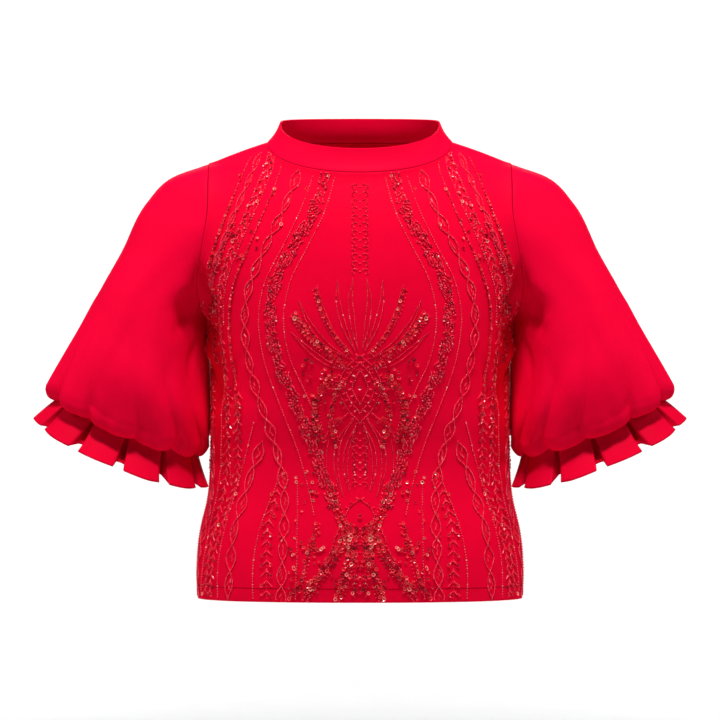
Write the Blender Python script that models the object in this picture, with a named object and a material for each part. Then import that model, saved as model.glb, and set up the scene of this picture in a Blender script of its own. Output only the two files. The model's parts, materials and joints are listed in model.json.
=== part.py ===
"""Balloon sleeve top: a short, straight top with a stand collar, elbow-length
balloon sleeves that turn under, and a box-pleated ruffle below each sleeve.

The cloth keeps the hollow form that it has when it is worn. Every piece that
is cut and sewn is one closed wall of cloth. All sizes are in millimetres and
the meshes are scaled to metres at the end. X runs to the viewer's right, the
front of the top faces -Y and Z points up. The origin lies between the two
points where the shoulder seams meet the collar.
"""
import math

import bpy
import bmesh
import numpy as np

METRES_PER_MM = 0.001

# Cloth and seams
BODICE_CLOTH = 1.5
SLEEVE_CLOTH = 1.5
RUFFLE_CLOTH = 1.3
COLLAR_CLOTH = 2.4
SEAM_GAP = 0.3
SHARPEST_MITRE = 0.55

# Outline of the shoulders and the neck
SHOULDER_HALF_WIDTH = 178.0
SHOULDER_DROP = 26.0
SHOULDER_ARCH = 1.0
NECK_HALF_WIDTH = 108.5
NECK_FRONT_DEPTH = 82.0
NECK_BACK_DEPTH = 66.0
NECK_FRONT_DROP = 39.0
NECK_BACK_RISE = 2.0
NECK_FULLNESS = 2.1

# Stand collar, at its top edge
COLLAR_TOP_HALF_WIDTH = 94.5
COLLAR_TOP_FRONT_DEPTH = 72.0
COLLAR_TOP_BACK_DEPTH = 60.0
COLLAR_TOP_SIDE = 21.0
COLLAR_TOP_FRONT = -10.5
COLLAR_TOP_BACK = 30.5
COLLAR_BACK_RISE = 0.45
COLLAR_HOLLOW = 1.6

# Level rings round the body, from the hem up to the underarm
BODICE_RINGS = (
    # height, half width, front depth, back depth
    (-537.5, 191.0, 122.0, 112.0),
    (-500.0, 192.0, 123.0, 113.0),
    (-460.0, 188.5, 119.0, 109.0),
    (-420.0, 179.5, 112.0, 104.0),
    (-375.0, 176.0, 108.0, 100.0),
    (-330.0, 175.5, 113.0, 101.0),
    (-285.0, 175.5, 122.0, 104.0),
    (-245.0, 177.0, 128.0, 108.0),
    (-222.0, 180.5, 127.0, 110.0),
    (-204.0, 184.0, 125.0, 111.0),
)
RING_FULLNESS = 2.35
QUARTER_STRETCH = 1.25
UNDERARM_HEIGHT = BODICE_RINGS[-1][0]

# Centre lines above the underarm
FRONT_CENTRE = (
    # forward, height
    (125.0, UNDERARM_HEIGHT),
    (121.0, -165.0),
    (112.0, -118.0),
    (99.0, -74.0),
    (NECK_FRONT_DEPTH, -NECK_FRONT_DROP),
)
BACK_CENTRE = (
    # backward, height
    (111.0, UNDERARM_HEIGHT),
    (112.0, -155.0),
    (107.0, -100.0),
    (92.0, -45.0),
    (NECK_BACK_DEPTH, NECK_BACK_RISE),
)

# Soft folds of the bodice; a negative depth is a ridge
FRONT_FOLDS = (
    # height, place from centre to side, depth, half width, half length
    (-292.0, 0.80, 5.5, 17.0, 48.0),
    (-262.0, 0.93, -2.5, 14.0, 36.0),
    (-196.0, 0.86, 4.0, 18.0, 24.0),
    (-455.0, 0.74, 4.0, 22.0, 60.0),
    (-480.0, 0.42, 2.5, 26.0, 55.0),
)
BACK_FOLDS = (
    # height, place from centre to side, depth, half width, half length
    (-300.0, 0.76, 5.0, 20.0, 55.0),
    (-205.0, 0.84, 4.5, 19.0, 30.0),
    (-440.0, 0.66, 4.5, 24.0, 70.0),
    (-360.0, 0.28, 3.0, 24.0, 60.0),
    (-455.0, 0.12, -2.5, 26.0, 60.0),
)

# Armhole seam from the underarm up to the shoulder
ARMHOLE = (
    # outward, height, forward on the front, backward on the back
    (184.0, UNDERARM_HEIGHT, 0.0, 0.0),
    (189.0, -188.0, 32.0, 34.0),
    (191.0, -167.0, 50.0, 53.0),
    (188.0, -143.0, 59.0, 62.0),
    (183.0, -114.0, 62.0, 65.0),
    (178.5, -84.0, 57.0, 60.0),
    (178.0, -52.0, 41.0, 43.0),
    (178.0, -32.5, 21.0, 22.0),
    (SHOULDER_HALF_WIDTH, -SHOULDER_DROP, 0.0, 0.0),
)

# Sleeve axis, from the middle of the armhole down and outward
SLEEVE_START_OUT = 185.0
SLEEVE_START_HEIGHT = -110.0
SLEEVE_LEAN = math.radians(22.0)
SLEEVE_TIP_FORWARD = math.tan(math.radians(6.0))
SLEEVE_FULLNESS = 2.15

SLEEVE_RINGS = (
    # distance down the axis, outer reach, inner reach, half depth
    (-80.0, 25.0, 36.0, 48.0),
    (-50.0, 59.0, 36.0, 57.0),
    (-9.0, 76.5, 36.0, 64.0),
    (55.0, 82.0, 35.0, 69.0),
    (97.0, 87.0, 36.5, 74.0),
    (106.0, 88.0, 43.0, 75.5),
    (122.0, 90.5, 54.0, 78.0),
    (150.0, 94.5, 69.0, 82.0),
    (180.0, 98.5, 81.4, 86.0),
    (210.0, 102.0, 93.0, 89.0),
    (228.0, 103.5, 99.0, 90.0),
)
PUFF_WIDEST = SLEEVE_RINGS[-1][0]
PUFF_TURN = (
    # drop below the widest ring, distance inward
    (5.5, 1.5),
    (10.5, 5.0),
    (13.5, 9.5),
    (14.0, 14.0),
    (12.0, 18.0),
    (9.0, 21.0),
)
PUFF_INNER_TURN = 0.5
PUFF_SEAM = PUFF_WIDEST + PUFF_TURN[-1][0]
PUFF_FRONT_DROOP = 8.0
SLEEVE_ROWS = (0.0, 0.04, 0.11, 0.21, 0.33, 0.47, 0.61, 0.75, 0.88, 1.0)

# Soft gathers of the puff, measured along the outline
GATHERS = 12
GATHER_DEPTH = 2.6
GATHER_START = 0.42
GATHER_INNER = 0.2
GATHER_DRIFT = 0.9
GATHER_SINK = 0.25
SEAM_BLEND = 0.6

# Soft folds that run down the sleeve
SLEEVE_FOLDS = (
    # place down the sleeve, degrees round it, depth, half width, half length
    (0.26, 128.0, 4.5, 15.0, 0.20),
    (0.30, 236.0, 4.5, 16.0, 0.22),
    (0.42, 78.0, 3.0, 16.0, 0.25),
    (0.45, 292.0, 3.5, 18.0, 0.26),
    (0.62, 38.0, 2.5, 14.0, 0.22),
)

# Box-pleated ruffle
PLEATS = 11
PLEAT_DEPTH_TOP = 0.9
PLEAT_DEPTH_HEM = 11.0
PLEAT_LIFT = 2.5
RUFFLE_DROP = 35.0
RUFFLE_FRONT_EXTRA = 7.0
RUFFLE_FLARE_OUTER = 19.0
RUFFLE_FLARE_INNER = 25.0
RUFFLE_FLARE_DEPTH = 24.0
RUFFLE_OPENING_OUTER = 0.75
RUFFLE_OPENING_INNER = 1.7
RUFFLE_ROWS = (0.0, 0.3, 0.65, 1.0)
BOX_PLEAT = (
    # place across one pleat, share of the pleat's depth
    (0.00, 0.00),
    (0.13, -0.10),
    (0.40, -0.16),
    (0.67, -0.10),
    (0.80, 0.00),
    (0.83, 0.93),
    (0.90, 1.00),
    (0.97, 0.93),
)

# Mesh density
TUBE_SEGMENTS = 11
YOKE_SEGMENTS = 12
NECK_SEGMENTS = 6
SHOULDER_SEGMENTS = 5
COLLAR_SEGMENTS = 4
CURVE_STEPS = 24
RELAX_PASSES = 8

# Finish of the cloth, as sRGB colours
RED_EMBROIDERED = (0.80, 0.02, 0.13)
RED_CREPE = (0.95, 0.03, 0.22)
RED_BAND = (0.93, 0.04, 0.22)


def smooth_values(table, places):
    """Read every column of a table at the given places of its first column."""
    table = np.asarray(table, float)
    knots, values = table[:, 0], table[:, 1:]
    slopes = np.gradient(values, knots, axis=0)
    places = np.atleast_1d(places)
    index = np.clip(np.searchsorted(knots, places) - 1, 0, len(knots) - 2)
    span = (knots[index + 1] - knots[index])[:, None]
    t = np.clip((places[:, None] - knots[index][:, None]) / span, 0.0, 1.0)
    start = (2 * t**3 - 3 * t**2 + 1) * values[index]
    start_slope = (t**3 - 2 * t**2 + t) * span * slopes[index]
    end = (3 * t**2 - 2 * t**3) * values[index + 1]
    end_slope = (t**3 - t**2) * span * slopes[index + 1]
    return start + start_slope + end + end_slope


def evenly_along(points, count):
    """Points at equal distances along a line of closely set points."""
    points = np.asarray(points, float)
    steps = np.linalg.norm(np.diff(points, axis=0), axis=1)
    length = np.concatenate([[0.0], np.cumsum(steps)])
    wanted = np.linspace(0.0, length[-1], count)
    return np.column_stack([np.interp(wanted, length, axis) for axis in points.T])


def smooth_path(knots, count):
    """Evenly spaced points on a smooth curve through the knots."""
    knots = np.asarray(knots, float)
    chords = np.linalg.norm(np.diff(knots, axis=0), axis=1)
    length = np.concatenate([[0.0], np.cumsum(chords)])
    places = np.linspace(0.0, length[-1], CURVE_STEPS * len(knots))
    dense = smooth_values(np.column_stack([length, knots]), places)
    return evenly_along(dense, count)


def quarter_ring(half_width, depth, fullness, count):
    """A quarter of a rounded ring in plan, from its centre line to its side."""
    angle = np.linspace(0.0, math.pi / 2, CURVE_STEPS * 8)
    out = half_width * np.sin(angle) ** (2 / fullness)
    forward = depth * np.cos(angle) ** (2 / fullness)
    return evenly_along(np.column_stack([out, forward]), count)


def neck_quarter(half_width, depth, centre_height, side_height, side, rise=1.0):
    """A quarter of a neck ring, from its centre line to its side."""
    plan = quarter_ring(half_width, depth, NECK_FULLNESS, NECK_SEGMENTS + 1)
    share = np.clip(plan[:, 1] / depth, 0.0, 1.0) ** rise
    height = side_height + (centre_height - side_height) * share
    return np.column_stack([plan[:, 0], side * plan[:, 1], height])


def armhole_half(side):
    """Armhole seam from the underarm to the shoulder; side is -1 on the front."""
    column = 2 if side < 0 else 3
    knots = [(row[0], side * row[column], row[1]) for row in ARMHOLE]
    return smooth_path(knots, YOKE_SEGMENTS + 1)


def shoulder_seam():
    """Shoulder seam from the collar to the armhole, a little arched."""
    share = np.linspace(0.0, 1.0, SHOULDER_SEGMENTS + 1)
    run = SHOULDER_HALF_WIDTH - NECK_HALF_WIDTH
    arch = SHOULDER_ARCH * np.sin(math.pi * share)
    return np.column_stack([
        NECK_HALF_WIDTH + run * share,
        np.zeros_like(share),
        arch - SHOULDER_DROP * share,
    ])


def neckline_half(side):
    """Seam between bodice and collar, from the centre line to the shoulder."""
    if side < 0:
        return neck_quarter(NECK_HALF_WIDTH, NECK_FRONT_DEPTH, -NECK_FRONT_DROP, 0.0, side)
    return neck_quarter(NECK_HALF_WIDTH, NECK_BACK_DEPTH, NECK_BACK_RISE, 0.0, side)


def patch(bottom, top, inner, outer):
    """Surface grid that fills the space between four edge curves."""
    rows, columns = len(inner), len(bottom)
    v = np.linspace(0.0, 1.0, rows)[:, None, None]
    u = np.linspace(0.0, 1.0, columns)[None, :, None]
    between_ends = (1 - v) * bottom[None] + v * top[None]
    between_sides = (1 - u) * inner[:, None] + u * outer[:, None]
    corners = (1 - v) * ((1 - u) * bottom[0] + u * bottom[-1])
    corners = corners + v * ((1 - u) * top[0] + u * top[-1])
    return between_ends + between_sides - corners


def folded(grid, side):
    """Press the soft folds into a half panel and leave its edges in place."""
    columns = grid.shape[1]
    place = np.linspace(0.0, 1.0, columns)[None, :]
    width = BODICE_RINGS[0][1]
    push = np.zeros(grid.shape[:2])
    for height, across, depth, half_width, half_length in (
            FRONT_FOLDS if side < 0 else BACK_FOLDS):
        beside = (place - across) * QUARTER_STRETCH * width / half_width
        along = (grid[:, :, 2] - height) / half_length
        push += depth * np.exp(-beside**2 - along**2)
    push[:, -1] = 0.0
    push[-1] = 0.0
    inward = mean_normals(grid, False, side > 0)
    grid = grid - push[..., None] * inward
    grid[:, 0, 0] = 0.0
    return grid


def relaxed(grid):
    """Ease the panel where the yoke meets the tube; its edges stay in place."""
    first = TUBE_SEGMENTS - 3
    for _ in range(RELAX_PASSES):
        inside = grid[first:-1, :-1]
        beside = np.concatenate([grid[first:-1, 1:2] * (-1, 1, 1), grid[first:-1, :-2]], axis=1)
        along = grid[first + 1:, :-1] + grid[first - 1:-2, :-1]
        across = beside + grid[first:-1, 1:]
        grid[first:-1, :-1] = (along + across + 4 * inside) / 8
    return grid


def half_bodice(side):
    """Grid of one half panel: rows from hem to top, columns from centre to side."""
    columns = NECK_SEGMENTS + SHOULDER_SEGMENTS + 1
    heights = np.linspace(BODICE_RINGS[0][0], UNDERARM_HEIGHT, TUBE_SEGMENTS + 1)
    rings = smooth_values(BODICE_RINGS, heights)
    tube = []
    for height, (half_width, front, back) in zip(heights, rings):
        plan = quarter_ring(half_width, front if side < 0 else back, RING_FULLNESS, columns)
        tube.append(np.column_stack([
            plan[:, 0], side * plan[:, 1], np.full(columns, height)]))
    centre = FRONT_CENTRE if side < 0 else BACK_CENTRE
    centre_line = smooth_path([(0.0, side * y, z) for y, z in centre], YOKE_SEGMENTS + 1)
    top = np.vstack([neckline_half(side), shoulder_seam()[1:]])
    yoke = patch(tube[-1], top, centre_line, armhole_half(side))
    rise = np.linspace(0.0, 1.0, YOKE_SEGMENTS + 1)[:, None]
    roundness = ((1 - rise) * tube[-1][None, :, 1] / tube[-1][0, 1]
                 + rise * top[None, :, 1] / top[0, 1])
    edge_depth, centre_depth = armhole_half(side)[:, None, 1], centre_line[:, None, 1]
    yoke[:, :, 1] = edge_depth + (centre_depth - edge_depth) * roundness
    yoke[:, -1], yoke[-1] = armhole_half(side), top
    return folded(relaxed(np.vstack([np.array(tube), yoke[1:]])), side)


def bodice_grid(side):
    """The whole panel, with its columns from the viewer's left to the right."""
    right = half_bodice(side)
    left = right[:, ::-1] * (-1, 1, 1)
    return np.concatenate([left[:, :-1], right], axis=1)


def with_midpoints(ring):
    """A closed ring with a new point in the middle of each straight edge."""
    following = np.roll(ring, -1, axis=0)
    return np.stack([ring, (ring + following) / 2], axis=1).reshape(-1, ring.shape[1])


def armhole_ring():
    """Armhole seam as a closed ring from the shoulder, down the front, up the back."""
    front = armhole_half(-1)[::-1]
    back = armhole_half(1)
    return np.vstack([front[:-1], back[:-1]])


def sleeve_axes():
    """Directions down the sleeve and outward across it, in the XZ plane."""
    down = np.array([math.sin(SLEEVE_LEAN), 0.0, -math.cos(SLEEVE_LEAN)])
    across = np.array([math.cos(SLEEVE_LEAN), 0.0, math.sin(SLEEVE_LEAN)])
    return down, across


def sleeve_point(distance, across_reach, forward):
    """Place in space of a point given along and across the sleeve."""
    down, across = sleeve_axes()
    start = np.array([SLEEVE_START_OUT, 0.0, SLEEVE_START_HEIGHT])
    tipped = distance + SLEEVE_TIP_FORWARD * forward * np.clip(distance / PUFF_WIDEST, 0, 1)
    return (start + tipped[..., None] * down + across_reach[..., None] * across
            + forward[..., None] * np.array([0.0, -1.0, 0.0]))


def ring_shape(angle, fullness):
    """Across and forward shares of a rounded ring, from outside to the front."""
    across = np.sign(np.cos(angle)) * np.abs(np.cos(angle)) ** (2 / fullness)
    forward = np.sign(np.sin(angle)) * np.abs(np.sin(angle)) ** (2 / fullness)
    return across, forward


def sleeve_skin(distance, angle, inward):
    """Points of the sleeve's skin, moved in from it by the given distance."""
    outer, inner, depth = np.moveaxis(
        smooth_values(SLEEVE_RINGS, distance.ravel()).reshape(distance.shape + (3,)), -1, 0)
    across, forward = ring_shape(angle, SLEEVE_FULLNESS)
    centre, half = (outer - inner) / 2, (outer + inner) / 2 - inward
    return centre + half * across, (depth - inward) * forward


def gather_share(angle):
    """Share of the gathers' depth round the sleeve, least beside the body."""
    return GATHER_INNER + (1 - GATHER_INNER) * (1 + np.cos(angle)) / 2


def turn_share(angle):
    """Share of the puff's inward turn round the sleeve, least beside the body."""
    return 1 - (1 - PUFF_INNER_TURN) * (1 - np.cos(angle)) / 2


def sleeve_folds(share, angle):
    """Depth of the soft folds at one row of the sleeve."""
    depth = np.zeros_like(angle)
    for place, degrees, fold_depth, half_width, half_length in SLEEVE_FOLDS:
        turn = (np.degrees(angle) - degrees + 180) % 360 - 180
        along = (share - place) / half_length
        depth += fold_depth * np.exp(-(turn / half_width) ** 2 - along**2)
    return depth


def sleeve_grid():
    """Right sleeve: rows from the armhole to the seam under the puff."""
    ring = with_midpoints(armhole_ring())
    count = len(ring)
    angle = np.linspace(0.0, 2 * math.pi, count, endpoint=False)
    down, across = sleeve_axes()
    rel = ring - np.array([SLEEVE_START_OUT, 0.0, SLEEVE_START_HEIGHT])
    start, start_across, start_forward = rel @ down, rel @ across, -rel[:, 1]
    wave = np.sin(GATHERS * angle + GATHER_DRIFT * np.sin(2 * angle)) - GATHER_SINK
    rows = []
    for share in SLEEVE_ROWS:
        distance = start + (PUFF_WIDEST - start) * share
        skin_across, skin_forward = sleeve_skin(distance, angle, 0.0)
        if share == 0.0:
            first_across, first_forward = start_across - skin_across, start_forward - skin_forward
        blend = min(share / SEAM_BLEND, 1.0)
        fade = (1 - blend) ** 2 * (1 + 2 * blend)
        gather = GATHER_DEPTH * max(0.0, share - GATHER_START) / (1 - GATHER_START) * wave
        gather = gather * gather_share(angle) - sleeve_folds(share, angle)
        pull_across, pull_forward = ring_shape(angle, SLEEVE_FULLNESS)
        rows.append(sleeve_point(
            distance,
            skin_across + fade * first_across + gather * pull_across,
            skin_forward + fade * first_forward + gather * pull_forward))
    rows[0] = ring
    for drop, inward in PUFF_TURN:
        widest = np.full(count, PUFF_WIDEST)
        skin_across, skin_forward = sleeve_skin(widest, angle, inward * turn_share(angle))
        pull_across, pull_forward = ring_shape(angle, SLEEVE_FULLNESS)
        gather = GATHER_DEPTH * wave * gather_share(angle)
        gather = gather * (1 - inward / PUFF_TURN[-1][1])
        droop = PUFF_FRONT_DROOP * np.sin(angle) ** 2 * (drop / PUFF_TURN[2][0])
        droop = droop * (1 - inward / PUFF_TURN[-1][1])
        distance = widest + drop + droop + 0.8 * gather
        rows.append(sleeve_point(
            distance, skin_across + gather * pull_across, skin_forward + gather * pull_forward))
    return np.array(rows)


def ruffle_grid():
    """Right ruffle: rows from the seam under the puff to the lower edge."""
    pleat = np.array(BOX_PLEAT)
    place = (np.arange(PLEATS)[:, None] + pleat[None, :, 0]).ravel() / PLEATS
    depth_share = np.tile(pleat[:, 1], PLEATS)
    seam_in = PUFF_TURN[-1][1] + SEAM_GAP
    dense_angle = np.linspace(0.0, 2 * math.pi, CURVE_STEPS * 30)
    rows = []
    for share in RUFFLE_ROWS:
        widest = np.full(dense_angle.shape, PUFF_WIDEST)
        across, forward = sleeve_skin(widest, dense_angle, seam_in * turn_share(dense_angle))
        inner_side = (1 - np.cos(dense_angle)) / 2
        flare = RUFFLE_FLARE_OUTER + (RUFFLE_FLARE_INNER - RUFFLE_FLARE_OUTER) * inner_side
        shape_across, shape_forward = ring_shape(dense_angle, SLEEVE_FULLNESS)
        opened = share ** (RUFFLE_OPENING_OUTER
                           + (RUFFLE_OPENING_INNER - RUFFLE_OPENING_OUTER) * inner_side)
        line = np.column_stack([
            across + opened * flare * shape_across,
            forward + opened * RUFFLE_FLARE_DEPTH * shape_forward])
        steps = np.concatenate([[0.0], np.cumsum(np.linalg.norm(np.diff(line, axis=0), axis=1))])
        wanted = place * steps[-1]
        point = np.column_stack([np.interp(wanted, steps, axis) for axis in line.T])
        ahead = np.column_stack([np.interp(wanted + 1, steps, axis, period=steps[-1])
                                 for axis in line.T])
        behind = np.column_stack([np.interp(wanted - 1, steps, axis, period=steps[-1])
                                  for axis in line.T])
        tangent = (ahead - behind) / np.linalg.norm(ahead - behind, axis=1)[:, None]
        outward = np.column_stack([tangent[:, 1], -tangent[:, 0]])
        pleat_depth = PLEAT_DEPTH_TOP + (PLEAT_DEPTH_HEM - PLEAT_DEPTH_TOP) * share
        point = point - outward * (pleat_depth * np.maximum(depth_share, -share))[:, None]
        front = np.clip(point[:, 1] / SLEEVE_RINGS[-1][3], -1, 1) ** 2
        drop = (RUFFLE_DROP + RUFFLE_FRONT_EXTRA * front) * share
        lift = PLEAT_LIFT * share * np.clip(depth_share, 0, 1)
        rows.append(sleeve_point(PUFF_SEAM + SEAM_GAP + drop - lift, point[:, 0], point[:, 1]))
    return np.array(rows)


def collar_grid():
    """Closed collar band: rows from the neck seam to the top edge."""
    def ring(front, back):
        right = np.vstack([front, back[::-1][1:]])
        left = right[::-1][1:-1] * (-1, 1, 1)
        return with_midpoints(np.vstack([right, left]))
    seam = ring(neckline_half(-1), neckline_half(1))
    top_front = neck_quarter(COLLAR_TOP_HALF_WIDTH, COLLAR_TOP_FRONT_DEPTH,
                             COLLAR_TOP_FRONT, COLLAR_TOP_SIDE, -1)
    top_back = neck_quarter(COLLAR_TOP_HALF_WIDTH, COLLAR_TOP_BACK_DEPTH,
                            COLLAR_TOP_BACK, COLLAR_TOP_SIDE, 1, COLLAR_BACK_RISE)
    top = ring(top_front, top_back)
    share = np.linspace(0.0, 1.0, COLLAR_SEGMENTS + 1)[:, None, None]
    grid = (1 - share) * seam[None] + share * top[None]
    plan = seam * (1, 1, 0)
    outward = plan / np.linalg.norm(plan, axis=1)[:, None]
    return grid - COLLAR_HOLLOW * np.sin(math.pi * share) * outward[None]


def mean_normals(grid, closed, flip):
    """Mean of the unit normals of the faces round each point of a grid."""
    if closed:
        grid = np.concatenate([grid, grid[:, :1]], axis=1)
    first = grid[1:, 1:] - grid[:-1, :-1]
    second = grid[1:, :-1] - grid[:-1, 1:]
    face = np.cross(first, second)
    face = face / np.linalg.norm(face, axis=2)[..., None]
    if flip:
        face = -face
    rows, columns = face.shape[0] + 1, face.shape[1] + (not closed)
    total = np.zeros((rows, columns, 3))
    count = np.zeros((rows, columns, 1))
    for row in (0, 1):
        for column in (0, 1):
            index = (np.arange(face.shape[1]) + column) % columns
            total[row:row + face.shape[0], index] += face
            count[row:row + face.shape[0], index] += 1
    return total / count


def seam_key(point):
    """Name of a place, the same for each piece that meets there."""
    return tuple(np.round(point, 2) + 0.0)


class Cloth:
    """A sheet of cloth as a grid of points on its outer face."""

    def __init__(self, name, grid, thickness, closed, flip, seams, colour, roughness):
        self.name = name
        self.grid = grid
        self.thickness = thickness
        self.closed = closed
        self.normals = mean_normals(grid, closed, flip)
        self.seams = seams
        self.colour = colour
        self.roughness = roughness

    def seam_points(self):
        """Row and column of each point that lies on a seam."""
        rows, columns = self.grid.shape[:2]
        found = set()
        if "top" in self.seams:
            found |= {(rows - 1, column) for column in range(columns)}
        if "bottom" in self.seams:
            found |= {(0, column) for column in range(columns)}
        if "sides" in self.seams:
            found |= {(row, column) for row in range(rows) for column in (0, columns - 1)}
        return sorted(found)

    def faces_out_and_in(self, shared):
        """Outer and inner points, mitred where pieces meet and clear of the seams."""
        mean = self.normals.copy()
        for row, column in self.seam_points():
            entry = shared.get(seam_key(self.grid[row, column]))
            if entry is not None:
                mean[row, column] = entry
        length = np.linalg.norm(mean, axis=2)[..., None]
        inward = mean / length * (self.thickness / np.maximum(length, SHARPEST_MITRE))
        inner = self.grid - inward
        back_off = np.zeros_like(self.grid)
        half_gap = SEAM_GAP / 2

        def towards(edge, neighbour):
            step = neighbour - edge
            return half_gap * step / np.linalg.norm(step, axis=-1)[..., None]
        if "top" in self.seams:
            back_off[-1] += towards(self.grid[-1], self.grid[-2])
        if "bottom" in self.seams:
            back_off[0] += towards(self.grid[0], self.grid[1])
        if "sides" in self.seams:
            back_off[:, 0] += towards(self.grid[:, 0], self.grid[:, 1])
            back_off[:, -1] += towards(self.grid[:, -1], self.grid[:, -2])
        return self.grid + back_off, inner + back_off


def shared_seams(cloths):
    """Mean normal where pieces meet; the two bodice panels count as one piece."""
    meeting = {}
    for cloth in cloths:
        side_of_seam = "bodice" if cloth.name.startswith("bodice") else cloth.name
        for row, column in cloth.seam_points():
            sides = meeting.setdefault(seam_key(cloth.grid[row, column]), {})
            sides.setdefault(side_of_seam, []).append(cloth.normals[row, column])
    return {key: np.mean([np.mean(side, axis=0) for side in sides.values()], axis=0)
            for key, sides in meeting.items()}


def straighten_midpoints(outer, inner):
    """Put the in-between points of a seam back on its straight edges."""
    for points in (outer, inner):
        seam_row = points[0]
        seam_row[1::2] = (seam_row[0::2] + np.roll(seam_row[0::2], -1, axis=0)) / 2


def linear(colour):
    """sRGB colour as linear values with alpha."""
    return tuple(c / 12.92 if c <= 0.04045 else ((c + 0.055) / 1.055) ** 2.4
                 for c in colour) + (1.0,)


def cloth_material(name, colour, roughness):
    """Plain cloth finish."""
    material = bpy.data.materials.new(name)
    material.use_nodes = True
    shader = material.node_tree.nodes["Principled BSDF"]
    shader.inputs["Base Color"].default_value = linear(colour)
    shader.inputs["Roughness"].default_value = roughness
    shader.inputs["Metallic"].default_value = 0.0
    return material


def shorter_diagonal(four):
    """Whether the diagonal from the first corner is the shorter one."""
    return (four[0].co - four[2].co).length < (four[1].co - four[3].co).length


def add_two_triangles(mesh, four, from_first):
    """Fill four corners with two triangles, split along the chosen diagonal."""
    a, b, c, d = four
    if from_first:
        mesh.faces.new((a, b, c))
        mesh.faces.new((a, c, d))
    else:
        mesh.faces.new((a, b, d))
        mesh.faces.new((b, c, d))


def build_wall(name, outer, inner, closed, material):
    """One closed wall of cloth from matching grids of outer and inner points."""
    rows, columns = outer.shape[:2]
    mesh = bmesh.new()
    skins = []
    for points in (outer, inner):
        skins.append([[mesh.verts.new(point * METRES_PER_MM) for point in row] for row in points])
    last = columns if closed else columns - 1
    for row in range(rows - 1):
        for column in range(last):
            beside = (column + 1) % columns
            corners = [[skin[row][column], skin[row][beside],
                        skin[row + 1][beside], skin[row + 1][column]] for skin in skins]
            split = shorter_diagonal(corners[0])
            for four in corners:
                add_two_triangles(mesh, four, split)
    borders = [[(0, column) for column in range(columns)],
               [(rows - 1, column) for column in range(columns)]]
    if not closed:
        around = borders[0] + [(row, columns - 1) for row in range(1, rows)]
        around += borders[1][::-1][1:] + [(row, 0) for row in range(rows - 2, 0, -1)]
        borders = [around]
    for border in borders:
        for (row, column), (next_row, next_column) in zip(border, border[1:] + border[:1]):
            four = [skins[0][row][column], skins[0][next_row][next_column],
                    skins[1][next_row][next_column], skins[1][row][column]]
            add_two_triangles(mesh, four, shorter_diagonal(four))
    bmesh.ops.recalc_face_normals(mesh, faces=mesh.faces)
    data = bpy.data.meshes.new(name)
    mesh.to_mesh(data)
    mesh.free()
    data.shade_smooth()
    data.set_sharp_from_angle(angle=math.radians(50))
    data.materials.append(material)
    wall = bpy.data.objects.new(name, data)
    bpy.context.scene.collection.objects.link(wall)
    return wall


def mirrored(grid):
    """The same grid on the viewer's left."""
    return grid * (-1, 1, 1)


def all_cloths():
    """Every piece that is cut and sewn."""
    sleeve, ruffle = sleeve_grid(), ruffle_grid()
    return [
        Cloth("bodice_front", bodice_grid(-1), BODICE_CLOTH, False, False,
              ("top", "sides"), RED_EMBROIDERED, 0.45),
        Cloth("bodice_back", bodice_grid(1), BODICE_CLOTH, False, True,
              ("top", "sides"), RED_CREPE, 0.55),
        Cloth("collar", collar_grid(), COLLAR_CLOTH, True, False,
              ("bottom",), RED_BAND, 0.55),
        Cloth("sleeve_right", sleeve, SLEEVE_CLOTH, True, False,
              ("bottom",), RED_CREPE, 0.5),
        Cloth("sleeve_left", mirrored(sleeve), SLEEVE_CLOTH, True, True,
              ("bottom",), RED_CREPE, 0.5),
        Cloth("ruffle_right", ruffle, RUFFLE_CLOTH, True, False,
              (), RED_CREPE, 0.5),
        Cloth("ruffle_left", mirrored(ruffle), RUFFLE_CLOTH, True, True,
              (), RED_CREPE, 0.5),
    ]


def main():
    """Clear the scene and build every piece."""
    for old in list(bpy.data.objects):
        bpy.data.objects.remove(old, do_unlink=True)
    cloths = all_cloths()
    shared = shared_seams(cloths)
    for cloth in cloths:
        outer, inner = cloth.faces_out_and_in(shared)
        if cloth.closed and "bottom" in cloth.seams:
            straighten_midpoints(outer, inner)
        material = cloth_material(cloth.name + "_cloth", cloth.colour, cloth.roughness)
        build_wall(cloth.name, outer, inner, cloth.closed, material)


main()
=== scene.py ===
"""Finish of a red top with balloon sleeves: its cloth with creases, the seams,
the sequin and bead work on the front, and a plain studio.

Sizes in the tables are millimetres in the model's own frame: X to the viewer's
right, the front faces -Y, Z up, with the origin between the neck points.
"""
import json
import math

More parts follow.
